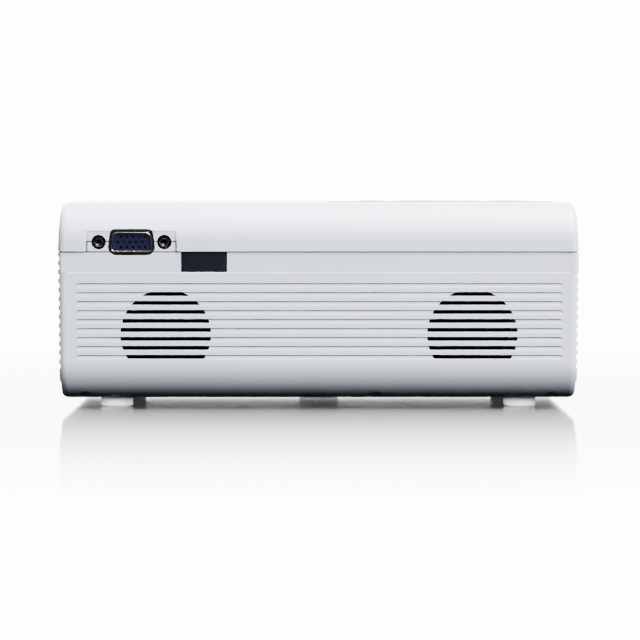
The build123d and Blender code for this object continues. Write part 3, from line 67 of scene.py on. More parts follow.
# Half the width of the photograph's frame
HALF_FRAME_PX = 320.0
# Corners within this of a plane are taken to lie in it
SAME_PLANE_MM = 0.01
# A face looks one way if its normal and that way have at least this cosine between them
FACING_COSINE = 0.9
# Painted shade: a groove narrower than about this gets its colour darkened
PAINTED_SHADE_REACH_MM = 2.0
# Shares of open sky at which a groove's painted shade is darkest, and at which there is none
PAINTED_SHADE_SHUT, PAINTED_SHADE_OPEN = 0.4, 0.95
# How far the roughness drifts each way, on a polished surface and on any other
POLISHED_SWING, GRAINED_SWING = 0.03, 0.10

Piece, Material = bpy.types.Object, bpy.types.Material
Tree, Socket = bpy.types.NodeTree, bpy.types.NodeSocket
Pair, Three, Four = tuple[float, float], tuple[float, float, float], tuple[float, float, float, float]
EdgeTest = Callable[[bmesh.types.BMEdge], bool]
FaceTest = Callable[[bmesh.types.BMFace], bool]


def linear(hex_colour: str) -> Four:
    """Turn an sRGB hex colour into linear RGBA.

    Args:
        hex_colour: Six hex digits after a #.

    Returns:
        Linear red, green and blue, and alpha 1.
    """
    digits = hex_colour.lstrip("#")
    channels = [int(digits[i : i + 2], 16) / 255 for i in (0, 2, 4)]
    red, green, blue = (c / 12.92 if c <= 0.04045 else ((c + 0.055) / 1.055) ** 2.4 for c in channels)
    return red, green, blue, 1.0


def wire(tree: Tree, node: bpy.types.Node, inputs: dict) -> None:
    """Link or set inputs of a shader node.

    Args:
        tree: Node tree of the material or world.
        node: The node.
        inputs: For each input, by name or number, a socket to link or a value to set.
    """
    for name, value in inputs.items():
        if isinstance(value, Socket):
            tree.links.new(value, node.inputs[name])
        else:
            node.inputs[name].default_value = value


def add_node(
    tree: Tree, kind: str, inputs: Optional[dict] = None, out: str | int = 0, **settings: object
) -> Socket:
    """Add one shader node with its settings, its values and the links into it.

    Args:
        tree: Node tree of the material or world.
        kind: Blender's identifier of the node, without ShaderNode.
        inputs: As for wire.
        out: The wanted output, by name or number.
        **settings: Properties of the node.

    Returns:
        That output of the new node.
    """
    node = tree.nodes.new("ShaderNode" + kind)
    for name, value in settings.items():
        setattr(node, name, value)
    wire(tree, node, inputs or {})
    return node.outputs[out]


def start_material(name: str) -> tuple[Material, bpy.types.Node]:
    """Start a node-based material.

    Args:
        name: Its name.

    Returns:
        The material and its surface shader.
    """
    material = bpy.data.materials.new(name)
    material.use_nodes = True
    return material, material.node_tree.nodes["Principled BSDF"]


class Process(Enum):
    """How a surface was made, which sets what its relief looks like."""

    SPARK_ERODED = "fine even pits copied from the mould"
    POLISHED = "smooth, with faint smears"
    BRUSHED = "long fine scratches"
    WOVEN = "crossing threads"
    PRINTED_BOARD = "solder mask over copper tracks"


@dataclass(frozen=True)
class Finish:
    """One real material with the process that made its surface.

    Args:
        name: Material and process in plain words.
        colour: sRGB hex of the surface in daylight.
        variant: sRGB hex that the colour drifts to, in soft patches.
        roughness: Mean roughness.
        process: How the surface was made.
        grain_mm: Size of one pit, scratch or track, or about a sixth of the spacing of threads.
        relief_mm: Height of the relief.
        metallic: 1 for metals.
        ior: Index of refraction, left alone for metals.
        coat: Weight of a clear coat.
        transmission: Share of light that passes.
        gleam: Specular level, less than a half for a dry surface in a recess or a coated glass.
        flare: sRGB hex of what the surface mirrors, for a coated glass.
        painted_crevice_shade: How dark the painted shade in a narrow groove gets, from 0 to 1.
        drift_mm: Size of the soft colour patches.
    """

    name: str
    colour: str
    variant: str
    roughness: float
    process: Process = Process.POLISHED
    grain_mm: float = 0.5
    relief_mm: float = 0.01
    metallic: float = 0.0
    ior: float = 1.5
    coat: float = 0.0
    transmission: float = 0.0
    gleam: float = 0.5
    flare: str = "#FFFFFF"
    painted_crevice_shade: float = 0.0
    drift_mm: float = 40.0

    def height(self, tree: Tree, position: Socket) -> Socket:
        """Height pattern of the process.

        Args:
            tree: Node tree of the material.
            position: Object coordinates.

        Returns:
            Socket with a height from 0 to 1.
        """
        per_metre = 1.0 / (self.grain_mm * MM)
        if self.process is Process.WOVEN:
            # Blender's bands repeat 20 / 2 pi times in each unit of their scale
            bands = {"Vector": position, "Scale": per_metre / 20.0}
            threads = {
                number: add_node(tree, "TexWave", bands, "Fac", bands_direction=direction)
                for number, direction in enumerate("XZ")
            }
            return add_node(tree, "Math", threads, operation="MAXIMUM")
        if self.process is Process.PRINTED_BOARD:
            cells = {"Vector": position, "Scale": per_metre}
            return add_node(tree, "TexVoronoi", cells, distance="MANHATTAN")
        if self.process is Process.BRUSHED:
            # Scratches run along X, 25 times as long as they are wide
            position = add_node(tree, "Mapping", {"Vector": position, "Scale": (0.04, 1.0, 1.0)})
        return add_node(tree, "TexNoise", {"Vector": position, "Scale": per_metre, "Detail": 3.0})

    @cache
    def material(self) -> Material:
        """Make the node-based material, on the first call only.

        Returns:
            The material, named for the finish.
        """
        material, shader = start_material(self.name)
        tree = material.node_tree
        position = add_node(tree, "TexCoord", out="Object")
        patches = {"Vector": position, "Scale": 1.0 / (self.drift_mm * MM), "Detail": 2.0}
        drift = add_node(tree, "TexNoise", patches)
        colours = {0: drift, 6: linear(self.colour), 7: linear(self.variant)}
        colour = add_node(tree, "Mix", colours, 2, data_type="RGBA")
        # Painted shade: ambient occlusion darkens the colour in narrow grooves and seams
        if self.painted_crevice_shade:
            reach = {"Distance": PAINTED_SHADE_REACH_MM * MM}
            open_sky = add_node(tree, "AmbientOcclusion", reach, "AO", samples=8)
            limits = {"From Min": PAINTED_SHADE_SHUT, "From Max": PAINTED_SHADE_OPEN, "To Min": 1 - self.painted_crevice_shade}
            shade = add_node(tree, "MapRange", {"Value": open_sky, **limits})
            colour = add_node(tree, "VectorMath", {0: colour, "Scale": shade}, operation="SCALE")
        height = self.height(tree, position)
        swing = POLISHED_SWING if self.process is Process.POLISHED else GRAINED_SWING
        limits = {"To Min": max(self.roughness - swing, 0.02), "To Max": min(self.roughness + swing, 1.0)}
        surface = {
            "Base Color": colour,
            "Metallic": self.metallic,
            "Coat Weight": self.coat,
            "Transmission Weight": self.transmission,
            "Specular IOR Level": self.gleam,
            "Specular Tint": linear(self.flare),
            "Roughness": add_node(tree, "MapRange", {"Value": height, **limits}),
        }
        if not self.metallic:
            surface["IOR"] = self.ior
        if self.process is not Process.POLISHED:
            relief = {"Height": height, "Distance": self.relief_mm * MM, "Strength": 1.0}
            surface["Normal"] = add_node(tree, "Bump", relief)
        wire(tree, shader, surface)
        return material


MOULDED, POLISHED, BRUSHED = Process.SPARK_ERODED, Process.POLISHED, Process.BRUSHED

# White ABS, injection moulded in a finely spark-eroded mould: a soft satin gleam, cool white, with painted
# shade darkening its narrow grooves
WHITE_ABS = Finish(
    "White ABS, satin moulded", "#DDE4F2", "#D8DFEE", 0.34, MOULDED, 0.35, 0.004,
    ior=1.53, painted_crevice_shade=0.92,
)
# The keys are moulded from the same ABS with a little more gloss, worn smooth by fingers, with painted
# shade in their narrow grooves
KEY_ABS = Finish(
    "White ABS keys, gloss moulded", "#D3D9E4", "#CCD3DE", 0.26, MOULDED, 0.3, 0.003,
    ior=1.53, painted_crevice_shade=0.9,
)
# Thermoplastic rubber, compression moulded: light grey, dull, with a dusty bloom
GREY_RUBBER = Finish(
    "Light grey rubber, moulded", "#E2E4E6", "#D8DADC", 0.45, MOULDED, 0.6, 0.02, ior=1.52
)
# Butyl rubber of the cones' surrounds: black and dull
BLACK_RUBBER = Finish("Black butyl rubber, pressed", "#161617", "#1E1E1F", 0.7, MOULDED, 0.4, 0.01)
# Glass-filled PBT of connector housings and of the focus ring: black with a fine dry grain
BLACK_PBT = Finish(
    "Black PBT, moulded", "#050506", "#08080A", 0.5, MOULDED, 0.3, 0.008,
    ior=1.57, gleam=0.15,
)
# Heat-resistant polycarbonate of the inner parts: dark grey and matt, so it throws no stray light
DARK_PC = Finish(
    "Dark grey polycarbonate, matt", "#242527", "#2B2C2E", 0.6, MOULDED, 0.5, 0.01,
    ior=1.58, gleam=0.1,
)
# Acrylic tinted nearly black, polished: passes infrared and mirrors the room
SMOKED_ACRYLIC = Finish(
    "Smoked acrylic, polished", "#14161B", "#181B22", 0.06, POLISHED, 15.0, ior=1.49, coat=0.6
)
# Navy thermoplastic of the video socket's insert
NAVY_PBT = Finish(
    "Navy PBT, moulded", "#070922", "#090C2B", 0.45, MOULDED, 0.3, 0.005,
    ior=1.57, gleam=0.2,
)
# Steel plated with bright nickel: a warm grey mirror with faint drawing marks
NICKEL = Finish("Nickel plated steel, drawn", "#C9C6C0", "#BDBAB4", 0.22, BRUSHED, 0.25, 0.002, 1.0)
# Jackscrews plated with black nickel: a dark mirror
BLACK_NICKEL = Finish(
    "Black nickel plated steel, turned", "#6E6B67", "#5F5C58", 0.26, BRUSHED, 0.25, 0.002, 1.0
)
# Zinc plated screws: a duller, bluer grey
ZINC = Finish("Zinc plated steel, headed", "#B4B7BC", "#A6A9AF", 0.36, BRUSHED, 0.3, 0.003, 1.0)
# Turned brass of the inserts
BRASS = Finish("Brass, turned", "#C9A45C", "#BD9850", 0.30, BRUSHED, 0.2, 0.003, 1.0)
# Extruded aluminium, left bare, with the die's lines
ALUMINIUM = Finish("Aluminium, extruded", "#C6C8CB", "#B9BBBF", 0.34, BRUSHED, 0.5, 0.006, 1.0)
# Gold flash on the contacts
GOLD = Finish("Gold flashed bronze, stamped", "#D8B566", "#CDAA5B", 0.24, BRUSHED, 0.2, 0.001, 1.0)
# Tin on the legs of the chips
TINNED = Finish("Tinned copper, formed", "#C4C5C6", "#B2B4B6", 0.32, BRUSHED, 0.2, 0.002, 1.0)
# Glass-fibre board under green solder mask
GREEN_BOARD = Finish(
    "Glass fibre board, green mask", "#0F4A2C", "#145636", 0.30, Process.PRINTED_BOARD, 1.2, 0.02, coat=0.3
)
# Epoxy of the chips and the sleeves of the capacitors
CHIP_EPOXY = Finish("Black epoxy, moulded", "#1C1C1E", "#242426", 0.48, MOULDED, 0.2, 0.004)
# Clear glass of the parts in the light path
OPTICAL_GLASS = Finish(
    "Optical glass, polished", "#F1F6FA", "#E8F0F6", 0.03, POLISHED, 15.0,
    ior=1.52, transmission=1.0,
)
# The lens's glass has a coating against reflections: deep and dark, with a faint violet glint
LENS_GLASS = Finish(
    "Optical glass, coated", "#6B7086", "#666B82", 0.03, POLISHED, 15.0,
    ior=1.52, transmission=1.0, gleam=0.2, flare="#B7A4FF",
)
# LCD glass between its polarisers: grey and half clear
LCD_GLASS = Finish(
    "LCD glass, polarised", "#3A3F48", "#30353D", 0.08, POLISHED, 20.0, ior=1.52, transmission=0.4
)
# Float glass with aluminium on its front
MIRROR_GLASS = Finish("Front silvered glass", "#E4E6E8", "#DCDEE0", 0.03, POLISHED, 20.0, metallic=1.0)
# Clear polycarbonate of the light guide
CLEAR_PC = Finish(
    "Clear polycarbonate, moulded", "#DDE6EE", "#D2DCE6", 0.08, POLISHED, 10.0,
    ior=1.58, transmission=0.7,
)
# Black polyester cloth behind the grilles, its threads drawn 3.8 mm apart because real ones don't show
SPEAKER_CLOTH = Finish(
    "Black polyester, woven", "#050506", "#08080A", 0.9, Process.WOVEN, 0.6, 0.05, gleam=0.1
)
# Pressed paper of the cones
PAPER_CONE = Finish("Black paper, pressed", "#1D1D1F", "#252527", 0.8, MOULDED, 0.8, 0.03)
# White solder mask on the LED's aluminium plate
LED_PLATE = Finish("White solder mask on aluminium", "#E5E3D8", "#DDD9C8", 0.35, MOULDED, 0.6, 0.01)
# Silicone with yellow phosphor, cast over the LED's chips
PHOSPHOR = Finish("Yellow phosphor silicone, cast", "#D9C04A", "#E2CC66", 0.4, MOULDED, 0.4, 0.01)
# Grey ink, pad-printed on the keys: a dull film a few hundredths of a millimetre thick
GREY_INK = Finish("Grey ink, pad-printed", "#1E2024", "#24272B", 0.55, MOULDED, 0.2, 0.002)
# Yellow polyester tape round the transformer's winding
YELLOW_TAPE = Finish("Yellow polyester tape, wound", "#D9B53A", "#CFA92F", 0.3, BRUSHED, 0.8, 0.01)


def along(axis: str) -> EdgeTest:
    """Test for edges whose ends differ along x, y or z."""
    return lambda edge: abs(getattr(edge.verts[0].co, axis) - getattr(edge.verts[1].co, axis)) > 1e-6


def on_plane(axis: str, place: float) -> EdgeTest:
    """Test for edges in a plane across x, y or z, at a place."""
    return lambda edge: all(abs(getattr(v.co, axis) / MM - place) < SAME_PLANE_MM for v in edge.verts)


def facing(*direction: float) -> FaceTest:
    """Test for faces that look one way."""
    return lambda face: face.normal.dot(Vector(direction)) > FACING_COSINE


# Modelling by hand: primitives at their place, steps in edit mode and finished meshes


def clear() -> None:
    """Leave edit mode and deselect everything."""
    if bpy.context.mode != "OBJECT":
        bpy.ops.object.mode_set(mode="OBJECT")
    bpy.ops.object.select_all(action="DESELECT")


def settle(name: str) -> Piece:
    """Name the active object and write its place into its mesh.

    Args:
        name: Name of the piece.

    Returns:
        The object, at the origin.
    """
    piece = bpy.context.object
    piece.name = name
    bpy.ops.object.transform_apply(location=True, rotation=True, scale=True)
    return piece


def block(name: str, low: Iterable[float], high: Iterable[float]) -> Piece:
    """Add a block between two corners.

    Args:
        name: Name of the piece.
        low: Lowest corner.
        high: Highest corner.

    Returns:
        The block, with its place in its mesh.
    """
    clear()
    middle = [(a + b) / 2 * MM for a, b in zip(low, high)]
    size = [(b - a) * MM for a, b in zip(low, high)]
    bpy.ops.mesh.primitive_cube_add(size=1, location=middle, scale=size)
    return settle(name)


def rod(name: str, middle: Iterable[float], radius: float, length: float, axis: str, sides: int) -> Piece:
    """Add a round rod.

    Args:
        name: Name of the piece.
        middle: Its middle.
        radius: Its radius.
        length: Its length.
        axis: Y or Z, the way that it points.
        sides: Number of flats round it.

    Returns:
        The rod, with its place in its mesh.
    """
    clear()
    bpy.ops.mesh.primitive_cylinder_add(
        vertices=sides,
        radius=radius * MM,
        depth=length * MM,
        location=[c * MM for c in middle],
        rotation=(math.pi / 2 if axis == "Y" else 0, 0, 0),
    )
    return settle(name)


def pick(piece: Piece, faces: FaceTest = lambda face: True, edges: Optional[EdgeTest] = None) -> None:
    """Open a piece in edit mode with only some of its faces or edges selected.

    Args:
        piece: The piece.
        faces: Says for a face whether it is selected.
        edges: Says it for an edge, and then edges are selected instead.
    """
    if bpy.context.mode != "EDIT_MESH":
        clear()
        piece.select_set(True)
        bpy.context.view_layer.objects.active = piece
        bpy.ops.object.mode_set(mode="EDIT")
    bpy.ops.mesh.select_mode(type="EDGE" if edges else "FACE")
    bpy.ops.mesh.select_all(action="DESELECT")
    shape = bmesh.from_edit_mesh(piece.data)
    for item in shape.edges if edges else shape.faces:
        item.select_set((edges or faces)(item))
    bmesh.update_edit_mesh(piece.data)


def push(*offset: float) -> None:
    """Extrude the selected faces by an offset."""
    bpy.ops.mesh.extrude_region_move(TRANSFORM_OT_translate={"value": [c * MM for c in offset]})


def inset(width: float) -> None:
    """Inset the selected faces by a width."""
    bpy.ops.mesh.inset(thickness=width * MM)


def soften(width: float, segments: int = 3) -> None:
    """Bevel the selected edges by a width."""
    bpy.ops.mesh.bevel(offset=width * MM, segments=segments, affect="EDGES")


def turn(piece: Piece, degrees: float, middle: Vector) -> None:
    """Turn a piece about an upright axis, and leave it in edit mode.

    Args:
        piece: The piece.
        degrees: How far, clockwise as seen from above.
        middle: A point on the axis.
    """
    pick(piece)
    bpy.ops.transform.rotate(value=math.radians(degrees), orient_axis="Z", center_override=middle * MM)


def close(piece: Piece, angle: float = 35.0) -> Piece:
    """Merge doubles, turn the normals outwards, leave edit mode and smooth by angle.

    Args:
        piece: The piece.
        angle: Sharpest angle that is still smoothed, in degrees.

    Returns:
        The finished piece.
    """
    pick(piece)
    bpy.ops.mesh.remove_doubles(threshold=0.000001)
    bpy.ops.mesh.select_all(action="SELECT")
    bpy.ops.mesh.normals_make_consistent(inside=False)
    bpy.ops.object.mode_set(mode="OBJECT")
    bpy.ops.object.shade_smooth_by_angle(angle=math.radians(angle))
    return piece


def ease(piece: Piece, edges: EdgeTest, width: float, segments: int = 3, angle: float = 35.0) -> Piece:
    """Round some edges of a piece and close it.

    Args:
        piece: The piece.
        edges: Says which edges are rounded.
        width: Width of the rounding.
        segments: Number of steps across it.
        angle: As for close.

    Returns:
        The finished piece.
    """
    pick(piece, edges=edges)
    soften(width, segments)
    return close(piece, angle)


def twin(piece: Piece) -> Piece:
    """Copy a piece.

    Args:
        piece: The piece.

    Returns:
        Its copy, with a mesh of its own.
    """
    other = piece.copy()
    other.data = piece.data.copy()
    bpy.context.scene.collection.objects.link(other)
    return other


def copies(piece: Piece, offsets: Iterable[tuple]) -> Piece:
    """Repeat a piece at offsets and join the copies into it.

    Args:
        piece: The first one, which stays where it is.
        offsets: Where the others go, from the first.

    Returns:
        The piece with its copies.
    """
    made = [piece]
    for offset in offsets:
        made.append(twin(piece))
        made[-1].location = [c * MM for c in offset]
    return join(piece.name, made)


def join(name: str, pieces: list) -> Piece:
    """Join pieces into the first of them.

    Args:
        name: Name of the result.
        pieces: The pieces.

    Returns:
        The joined piece, with its place in its mesh.
    """
    clear()
    for piece in pieces:
        piece.select_set(True)
    bpy.context.view_layer.objects.active = pieces[0]
    bpy.ops.object.transform_apply(location=True, rotation=True, scale=True)
    if len(pieces) > 1:
        bpy.ops.object.join()
    pieces[0].name = name
    return pieces[0]


def lathe(name: str, outline: list, middle: tuple, axis: str, steps: int) -> Piece:
    """Turn a closed outline about an axis.

    Args:
        name: Name of the piece.
        outline: Points of radius and place along the axis, from the middle.
        middle: A point on the axis.
        axis: X or Y, the way that the axis points.
        steps: Number of steps round.

    Returns:
        The turned piece.
    """
    clear()
    bpy.ops.mesh.primitive_circle_add(vertices=len(outline), radius=MM, fill_type="NGON")
    piece = bpy.context.object
    onward = Vector((1, 0, 0)) if axis == "X" else Vector((0, 1, 0))
    up = Vector((0, 0, 1))
    centre = Vector(middle) * MM
    for vertex, (radius, place) in zip(piece.data.vertices, outline):
        vertex.co = centre + up * radius * MM + onward * place * MM
    pick(piece)
    bpy.ops.mesh.spin(steps=steps, angle=2 * math.pi, center=centre, axis=onward)
    # The outline's own face is inside the turned form now
    across = onward.cross(up)
    pick(
        piece,
        lambda face: abs(face.normal.dot(across)) > 0.999 and len(face.verts) == len(outline),
    )
    bpy.ops.mesh.delete(type="ONLY_FACE")
    piece.name = name
    return close(piece)


def span(node: str) -> tuple[Vector, Vector]:
    """Lowest and highest corner of a CAD node."""
    low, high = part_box(node)
    return Vector(low) / MM, Vector(high) / MM


def top(node: str) -> Vector:
    """Middle of a CAD node's top."""
    low, high = span(node)
    return Vector(((low.x + high.x) / 2, (low.y + high.y) / 2, high.z))


class SubAssembly:
    """CAD nodes and new pieces that are dressed and completed together."""

    DRESS: ClassVar[dict[Finish, tuple[str, ...]]] = {}

    def dress(self) -> None:
        """Give each CAD node of the sub-assembly its finish."""
        for finish, nodes in self.DRESS.items():
            for name in nodes:
                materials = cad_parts[name].data.materials
                materials.clear()
                materials.append(finish.material())
                LOG.info("%s dressed in %s", name, finish.name)

    def finish(self, piece: Piece, finish: Finish, slot: str, body: str = "casing") -> None:
        """Give a new piece its material and the body that it rides on.

        Args:
            piece: The new piece.
            finish: Its finish.
            slot: Material slot of the record; not used.
            body: Name of the CAD body.
        """
        piece.data.materials.clear()
        piece.data.materials.append(finish.material())
        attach(piece, body)
        LOG.info("%s made of %s, on %s", piece.name, finish.name, body)

    def build(self) -> None:
        """Make the pieces that the CAD model leaves out, where there are any."""


@dataclass
class Casing(SubAssembly):
    """The white case: lower case, cover, feet, screws, inserts and windows.

    Args:
        window_round: Radius of the rounded ends of a smoked window.
        window_flange: Width of the flange that holds a window behind the wall.
        window_gap: Between the window and the edge of its opening.
        bead_height: Height of the rounded bead along the foot of the sunk band.
        bead_depth: How far it reaches into the case.
        bead_end: How far it stops from the case's sides.
        bead_sink: How far it lies under the case's face and into the case's edge.
        strip_inset: How deep the dark strip of painted shade lies in the shadow groove.
        strip_width: Its width, inwards.
        strip_height: Height of its top above the groove's floor.
        strip_lift: Height of its underside above the groove's floor.
        corner_radius: Radius of the case's upright edges.
    """

    window_round: float = 1.5
    window_flange: float = 1.0
    window_gap: float = 0.1
    bead_height: float = 0.35
    bead_depth: float = 0.42
    bead_end: float = 3.3
    bead_sink: float = 0.02
    strip_inset: float = 0.5
    strip_width: float = 0.4
    strip_height: float = 0.48
    strip_lift: float = 0.01
    corner_radius: float = 3.0

    DRESS: ClassVar = {
        WHITE_ABS: ("lower_case", "top_cover"),
        GREY_RUBBER: ("rubber_feet", "elevator_foot"),
        BRASS: ("brass_inserts",),
        ZINC: ("case_screws",),
        SMOKED_ACRYLIC: ("rear_ir_window", "front_ir_window"),
        CLEAR_PC: ("status_light",),
    }

    def window(self, node: str, outward: int) -> None:
        """Make a smoked window with rounded ends in place of a plain one.

        Args:
            node: The CAD node that it replaces.
            outward: -1 at the back, 1 at the front.
        """
        low, high = span(node)
        flange, gap = self.window_flange, self.window_gap
        face_y, back_y = (low.y, high.y) if outward < 0 else (high.y, low.y)
        near = sorted((face_y, back_y + outward * flange))
        far = sorted((back_y, back_y + outward * flange))
        plate = block(
            node + "_glass",
            (low.x + flange + gap, near[0], low.z + flange + gap),
            (high.x - flange - gap, near[1], high.z - flange - gap),
        )
        outer, level = on_plane("y", face_y), along("x")
        ease(plate, lambda edge: outer(edge) and not level(edge), self.window_round, 6, 60)
        rim = block(node + "_flange", (low.x, far[0], low.z), (high.x, far[1], high.z))
        ease(rim, along("y"), flange / 2, 2)
        window = join(node + "_glass", [plate, rim])
        self.finish(window, SMOKED_ACRYLIC, "smoked_window")
        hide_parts(node)

    def bezel_chord(self, height: float) -> Pair:
        """Where the lens bezel's rim stands at a height.

        Args:
            height: Height above the floor.

        Returns:
            Lowest and highest X of the rim there.
        """
        low, high = span("lens_bezel")
        radius = (high.x - low.x) / 2
        half = math.sqrt(radius**2 - (height - (low.z + high.z) / 2) ** 2)
        return low.x + radius - half, low.x + radius + half

    def band_bead(self, name: str, outward: int) -> None:
        """Lay the rounded bead that ends the sunk band at its foot.

        Args:
            name: Name of the piece.
            outward: -1 at the back, 1 at the front.
        """
        window_low, _ = span("rear_ir_window" if outward < 0 else "front_ir_window")
        foot = window_low.z + self.window_flange
        case_low, case_high = span("lower_case")
        corner = case_high.x - self.bead_end
        face = case_low.y if outward < 0 else case_high.y
        face_y = face - self.bead_sink * outward
        near = sorted((face_y, face - self.bead_depth * outward))
        runs = [(-corner, corner)]
        if outward > 0:
            left, right = self.bezel_chord(foot)
            runs = [(-corner, left), (right, corner)]
        upper = foot + self.bead_height
        outer, level = on_plane("y", face_y), on_plane("z", upper)
        beads = []
        for start, end in runs:
            bead = block(name, (start, near[0], foot - self.bead_sink), (end, near[1], upper))
            # Nearly a whole quarter round
            rounding = self.bead_height * 0.95
            beads.append(ease(bead, lambda edge: outer(edge) and level(edge), rounding, 5, 60))
        self.finish(join(name, beads), WHITE_ABS, "white_case")

    def painted_shade_seam_strip(self) -> None:
        """Lay a dark strip of painted shade at the bottom of the shadow groove, from one side of the lens
        to the other.
        """
        _, window_high = span("rear_ir_window")
        seam = window_high.z - self.window_flange
        left, right = self.bezel_chord(seam)
        case_low, case_high = span("lower_case")
        front = case_high.y - self.strip_inset
        side, near = case_high.x - self.corner_radius, case_low.y + self.corner_radius
        far = front - (self.corner_radius - self.strip_inset)
        strip = block(
            "painted_shade_seam_strip",
            (right, front - self.strip_width, seam + self.strip_lift),
            (side, front, seam + self.strip_height),
        )
        # Way that the strip comes to each corner, the corner's middle and the run that follows it
        runs = [
            (Vector((1, 0, 0)), Vector((side, far, seam)), far - near),
            (Vector((0, -1, 0)), Vector((side, near, seam)), 2 * side),
            (Vector((-1, 0, 0)), Vector((-side, near, seam)), far - near),
            (Vector((0, 1, 0)), Vector((-side, far, seam)), left + side),
        ]
        for heading, corner, run in runs:
            self.pick_end(strip, heading, corner)
            bpy.ops.mesh.spin(steps=6, angle=math.pi / 2, center=corner * MM, axis=(0, 0, 1))
            ahead = Vector((heading.y, -heading.x, 0))
            self.pick_end(strip, ahead, corner)
            push(*(ahead * run))
        close(strip)
        # Dark plastic where the groove holds only shade: painted shade
        self.finish(strip, DARK_PC, "inner_plastic")

    @staticmethod
    def pick_end(strip: Piece, heading: Vector, corner: Vector) -> None:
        """Select the end of the strip, beside a corner.

        Args:
            strip: The strip.
            heading: The way that its end faces.
            corner: Middle of the corner.
        """
        pick(
            strip,
            lambda face: face.normal.dot(heading) > 0.99
            and abs((face.calc_center_median() / MM - corner).dot(heading)) < SAME_PLANE_MM,
        )

    def build(self) -> None:
        """Make the two smoked windows, the beads under the bands and the dark strip of painted shade in the
        seam.
        """
        self.window("rear_ir_window", -1)
        self.window("front_ir_window", 1)
        self.band_bead("rear_band_bead", -1)
        self.band_bead("front_band_bead", 1)
        self.painted_shade_seam_strip()


@dataclass
class Keypad(SubAssembly):
    """The keypad in the top: panel, nine keys with printed signs, and their board.

    Args:
        ink: Thickness of the printed signs.
        stroke: Width of a printed line.
    """

    ink: float = 0.02
    stroke: float = 0.65

    DRESS: ClassVar = {
        KEY_ABS: (
            "keypad_panel", "key_up", "key_down", "key_left", "key_right", "key_ok",
            "key_power", "key_source", "key_menu", "key_back",
        ),
        GREEN_BOARD: ("keypad_board",),
    }

    def bar(self, key: str, x: float, y: float, width: float, length: float) -> Piece:
        """Printed bar that lies on a key.

        Args:
            key: CAD node of the key.
            x: From the key's middle to the bar's, along X.
            y: The same along Y.
            width: Size along X.
            length: Size along Y.

        Returns:
            The bar, with rounded corners.
        """
        middle = top(key) + Vector((x, y, 0))
        bar = block(
            key + "_sign",
            (middle.x - width / 2, middle.y - length / 2, middle.z),
            (middle.x + width / 2, middle.y + length / 2, middle.z + self.ink),
        )
        return ease(bar, along("z"), min(width, length) * 0.45)

    def arrow(self, key: str, x: float, y: float, direction: float, size: float) -> Piece:
        """Printed triangle that points one way.

        Args:
            key: CAD node of the key.
            x: From the key's middle to the triangle's, along X.
            y: The same along Y.
            direction: Where it points, in degrees from X.
            size: Distance from its middle to its tip.

        Returns:
            The triangle, with rounded corners.
        """
        middle = top(key) + Vector((x, y, 0))
        raised = (middle.x, middle.y, middle.z + self.ink / 2)
        arrow = rod(key + "_sign", raised, size, self.ink, "Z", 3)
        # A rod of three flats has a tip that points along Y
        turn(arrow, 90 - direction, middle)
        return ease(arrow, along("z"), size * 0.25)

    def arc(self, key: str, radius: float, start: float, sweep: float) -> Piece:
        """Printed line along part of a circle round a key's middle.

        Args:
            key: CAD node of the key.
            radius: Radius of the line's middle.
            start: Where it starts, in degrees from X.
            sweep: How far it goes, in degrees.

        Returns:
            The line.
        """
        middle = top(key)
        half = self.stroke / 2
        # A thin slab at the right, whose end is swept round
        arc = block(
            key + "_sign",
            (middle.x + radius - half, middle.y - 0.01, middle.z),
            (middle.x + radius + half, middle.y, middle.z + self.ink),
        )
        pick(arc, facing(0, 1, 0))
        bpy.ops.mesh.spin(steps=24, angle=-math.radians(sweep), center=middle * MM, axis=(0, 0, 1))
        turn(arc, -start, middle)
        return close(arc)

    def sign(self, key: str, marks: list) -> None:
        """Join printed marks into the sign of one key."""
        self.finish(join(key + "_sign", marks), GREY_INK, "grey_rubber", key)

    def build(self) -> None:
        """Print the signs on the keys."""
        line = self.stroke
        for key, direction in (("key_right", 0), ("key_up", 90), ("key_left", 180), ("key_down", 270)):
            self.sign(key, [self.arrow(key, 0, 0, direction, 1.9)])
        # Each sign's marks lie at their place from the key's middle
        key = "key_power"
        self.sign(key, [self.arc(key, 2.2, 130, 280), self.bar(key, 0, 1.9, line, 2.2)])
        key = "key_menu"
        self.sign(key, [self.bar(key, 0, y, 4.6, line) for y in (-1.5, 0, 1.5)])
        key = "key_back"
        marks = [
            self.arc(key, 1.7, 270, 180),
            self.bar(key, -1.1, 1.7, 2.4, line),
            self.bar(key, -0.9, -1.7, 1.9, line),
            self.arrow(key, -2.6, 1.7, 180, 1.1),
        ]
        self.sign(key, marks)
        key = "key_source"
        marks = [
            self.bar(key, -1.3, 0, 2.6, line),
            self.bar(key, 0.9, 2.2, 3.0, line),
            self.bar(key, 0.9, -2.2, 3.0, line),
            self.bar(key, 2.4, 0, line, 4.85),
            self.arrow(key, 0.1, 0, 0, 1.2),
        ]
        self.sign(key, marks)


@dataclass
class Sound(SubAssembly):
    """The two loudspeakers behind their grilles.

    Args:
        roll_radius: Radius of the middle of the cone's rubber surround.
        roll_height: How far the surround bulges.
        roll_place: From the cone's outer side to the surround's flat side.
    """

    roll_radius: float = 11.6
    roll_height: float = 0.9
    roll_place: float = 0.62

    DRESS: ClassVar = {
        SPEAKER_CLOTH: ("grille_cloths",),
        DARK_PC: ("left_speaker", "right_speaker"),
        PAPER_CONE: ("left_speaker_cone", "right_speaker_cone"),
    }

    def build(self) -> None:
        """Glue a rubber surround on the rim of each cone."""
        half_round = [
            (
                self.roll_radius + self.roll_height * math.cos(math.radians(angle)),
                self.roll_place + self.roll_height * math.sin(math.radians(angle)),
            )
            for angle in range(0, 181, 30)
        ]
        for side in ("left", "right"):
            low, high = span(side + "_speaker_cone")
            middle = ((low.x + high.x) / 2, low.y, (low.z + high.z) / 2)
            roll = lathe(side + "_speaker_surround", half_round, middle, "Y", 48)
            self.finish(roll, BLACK_RUBBER, "grey_rubber")


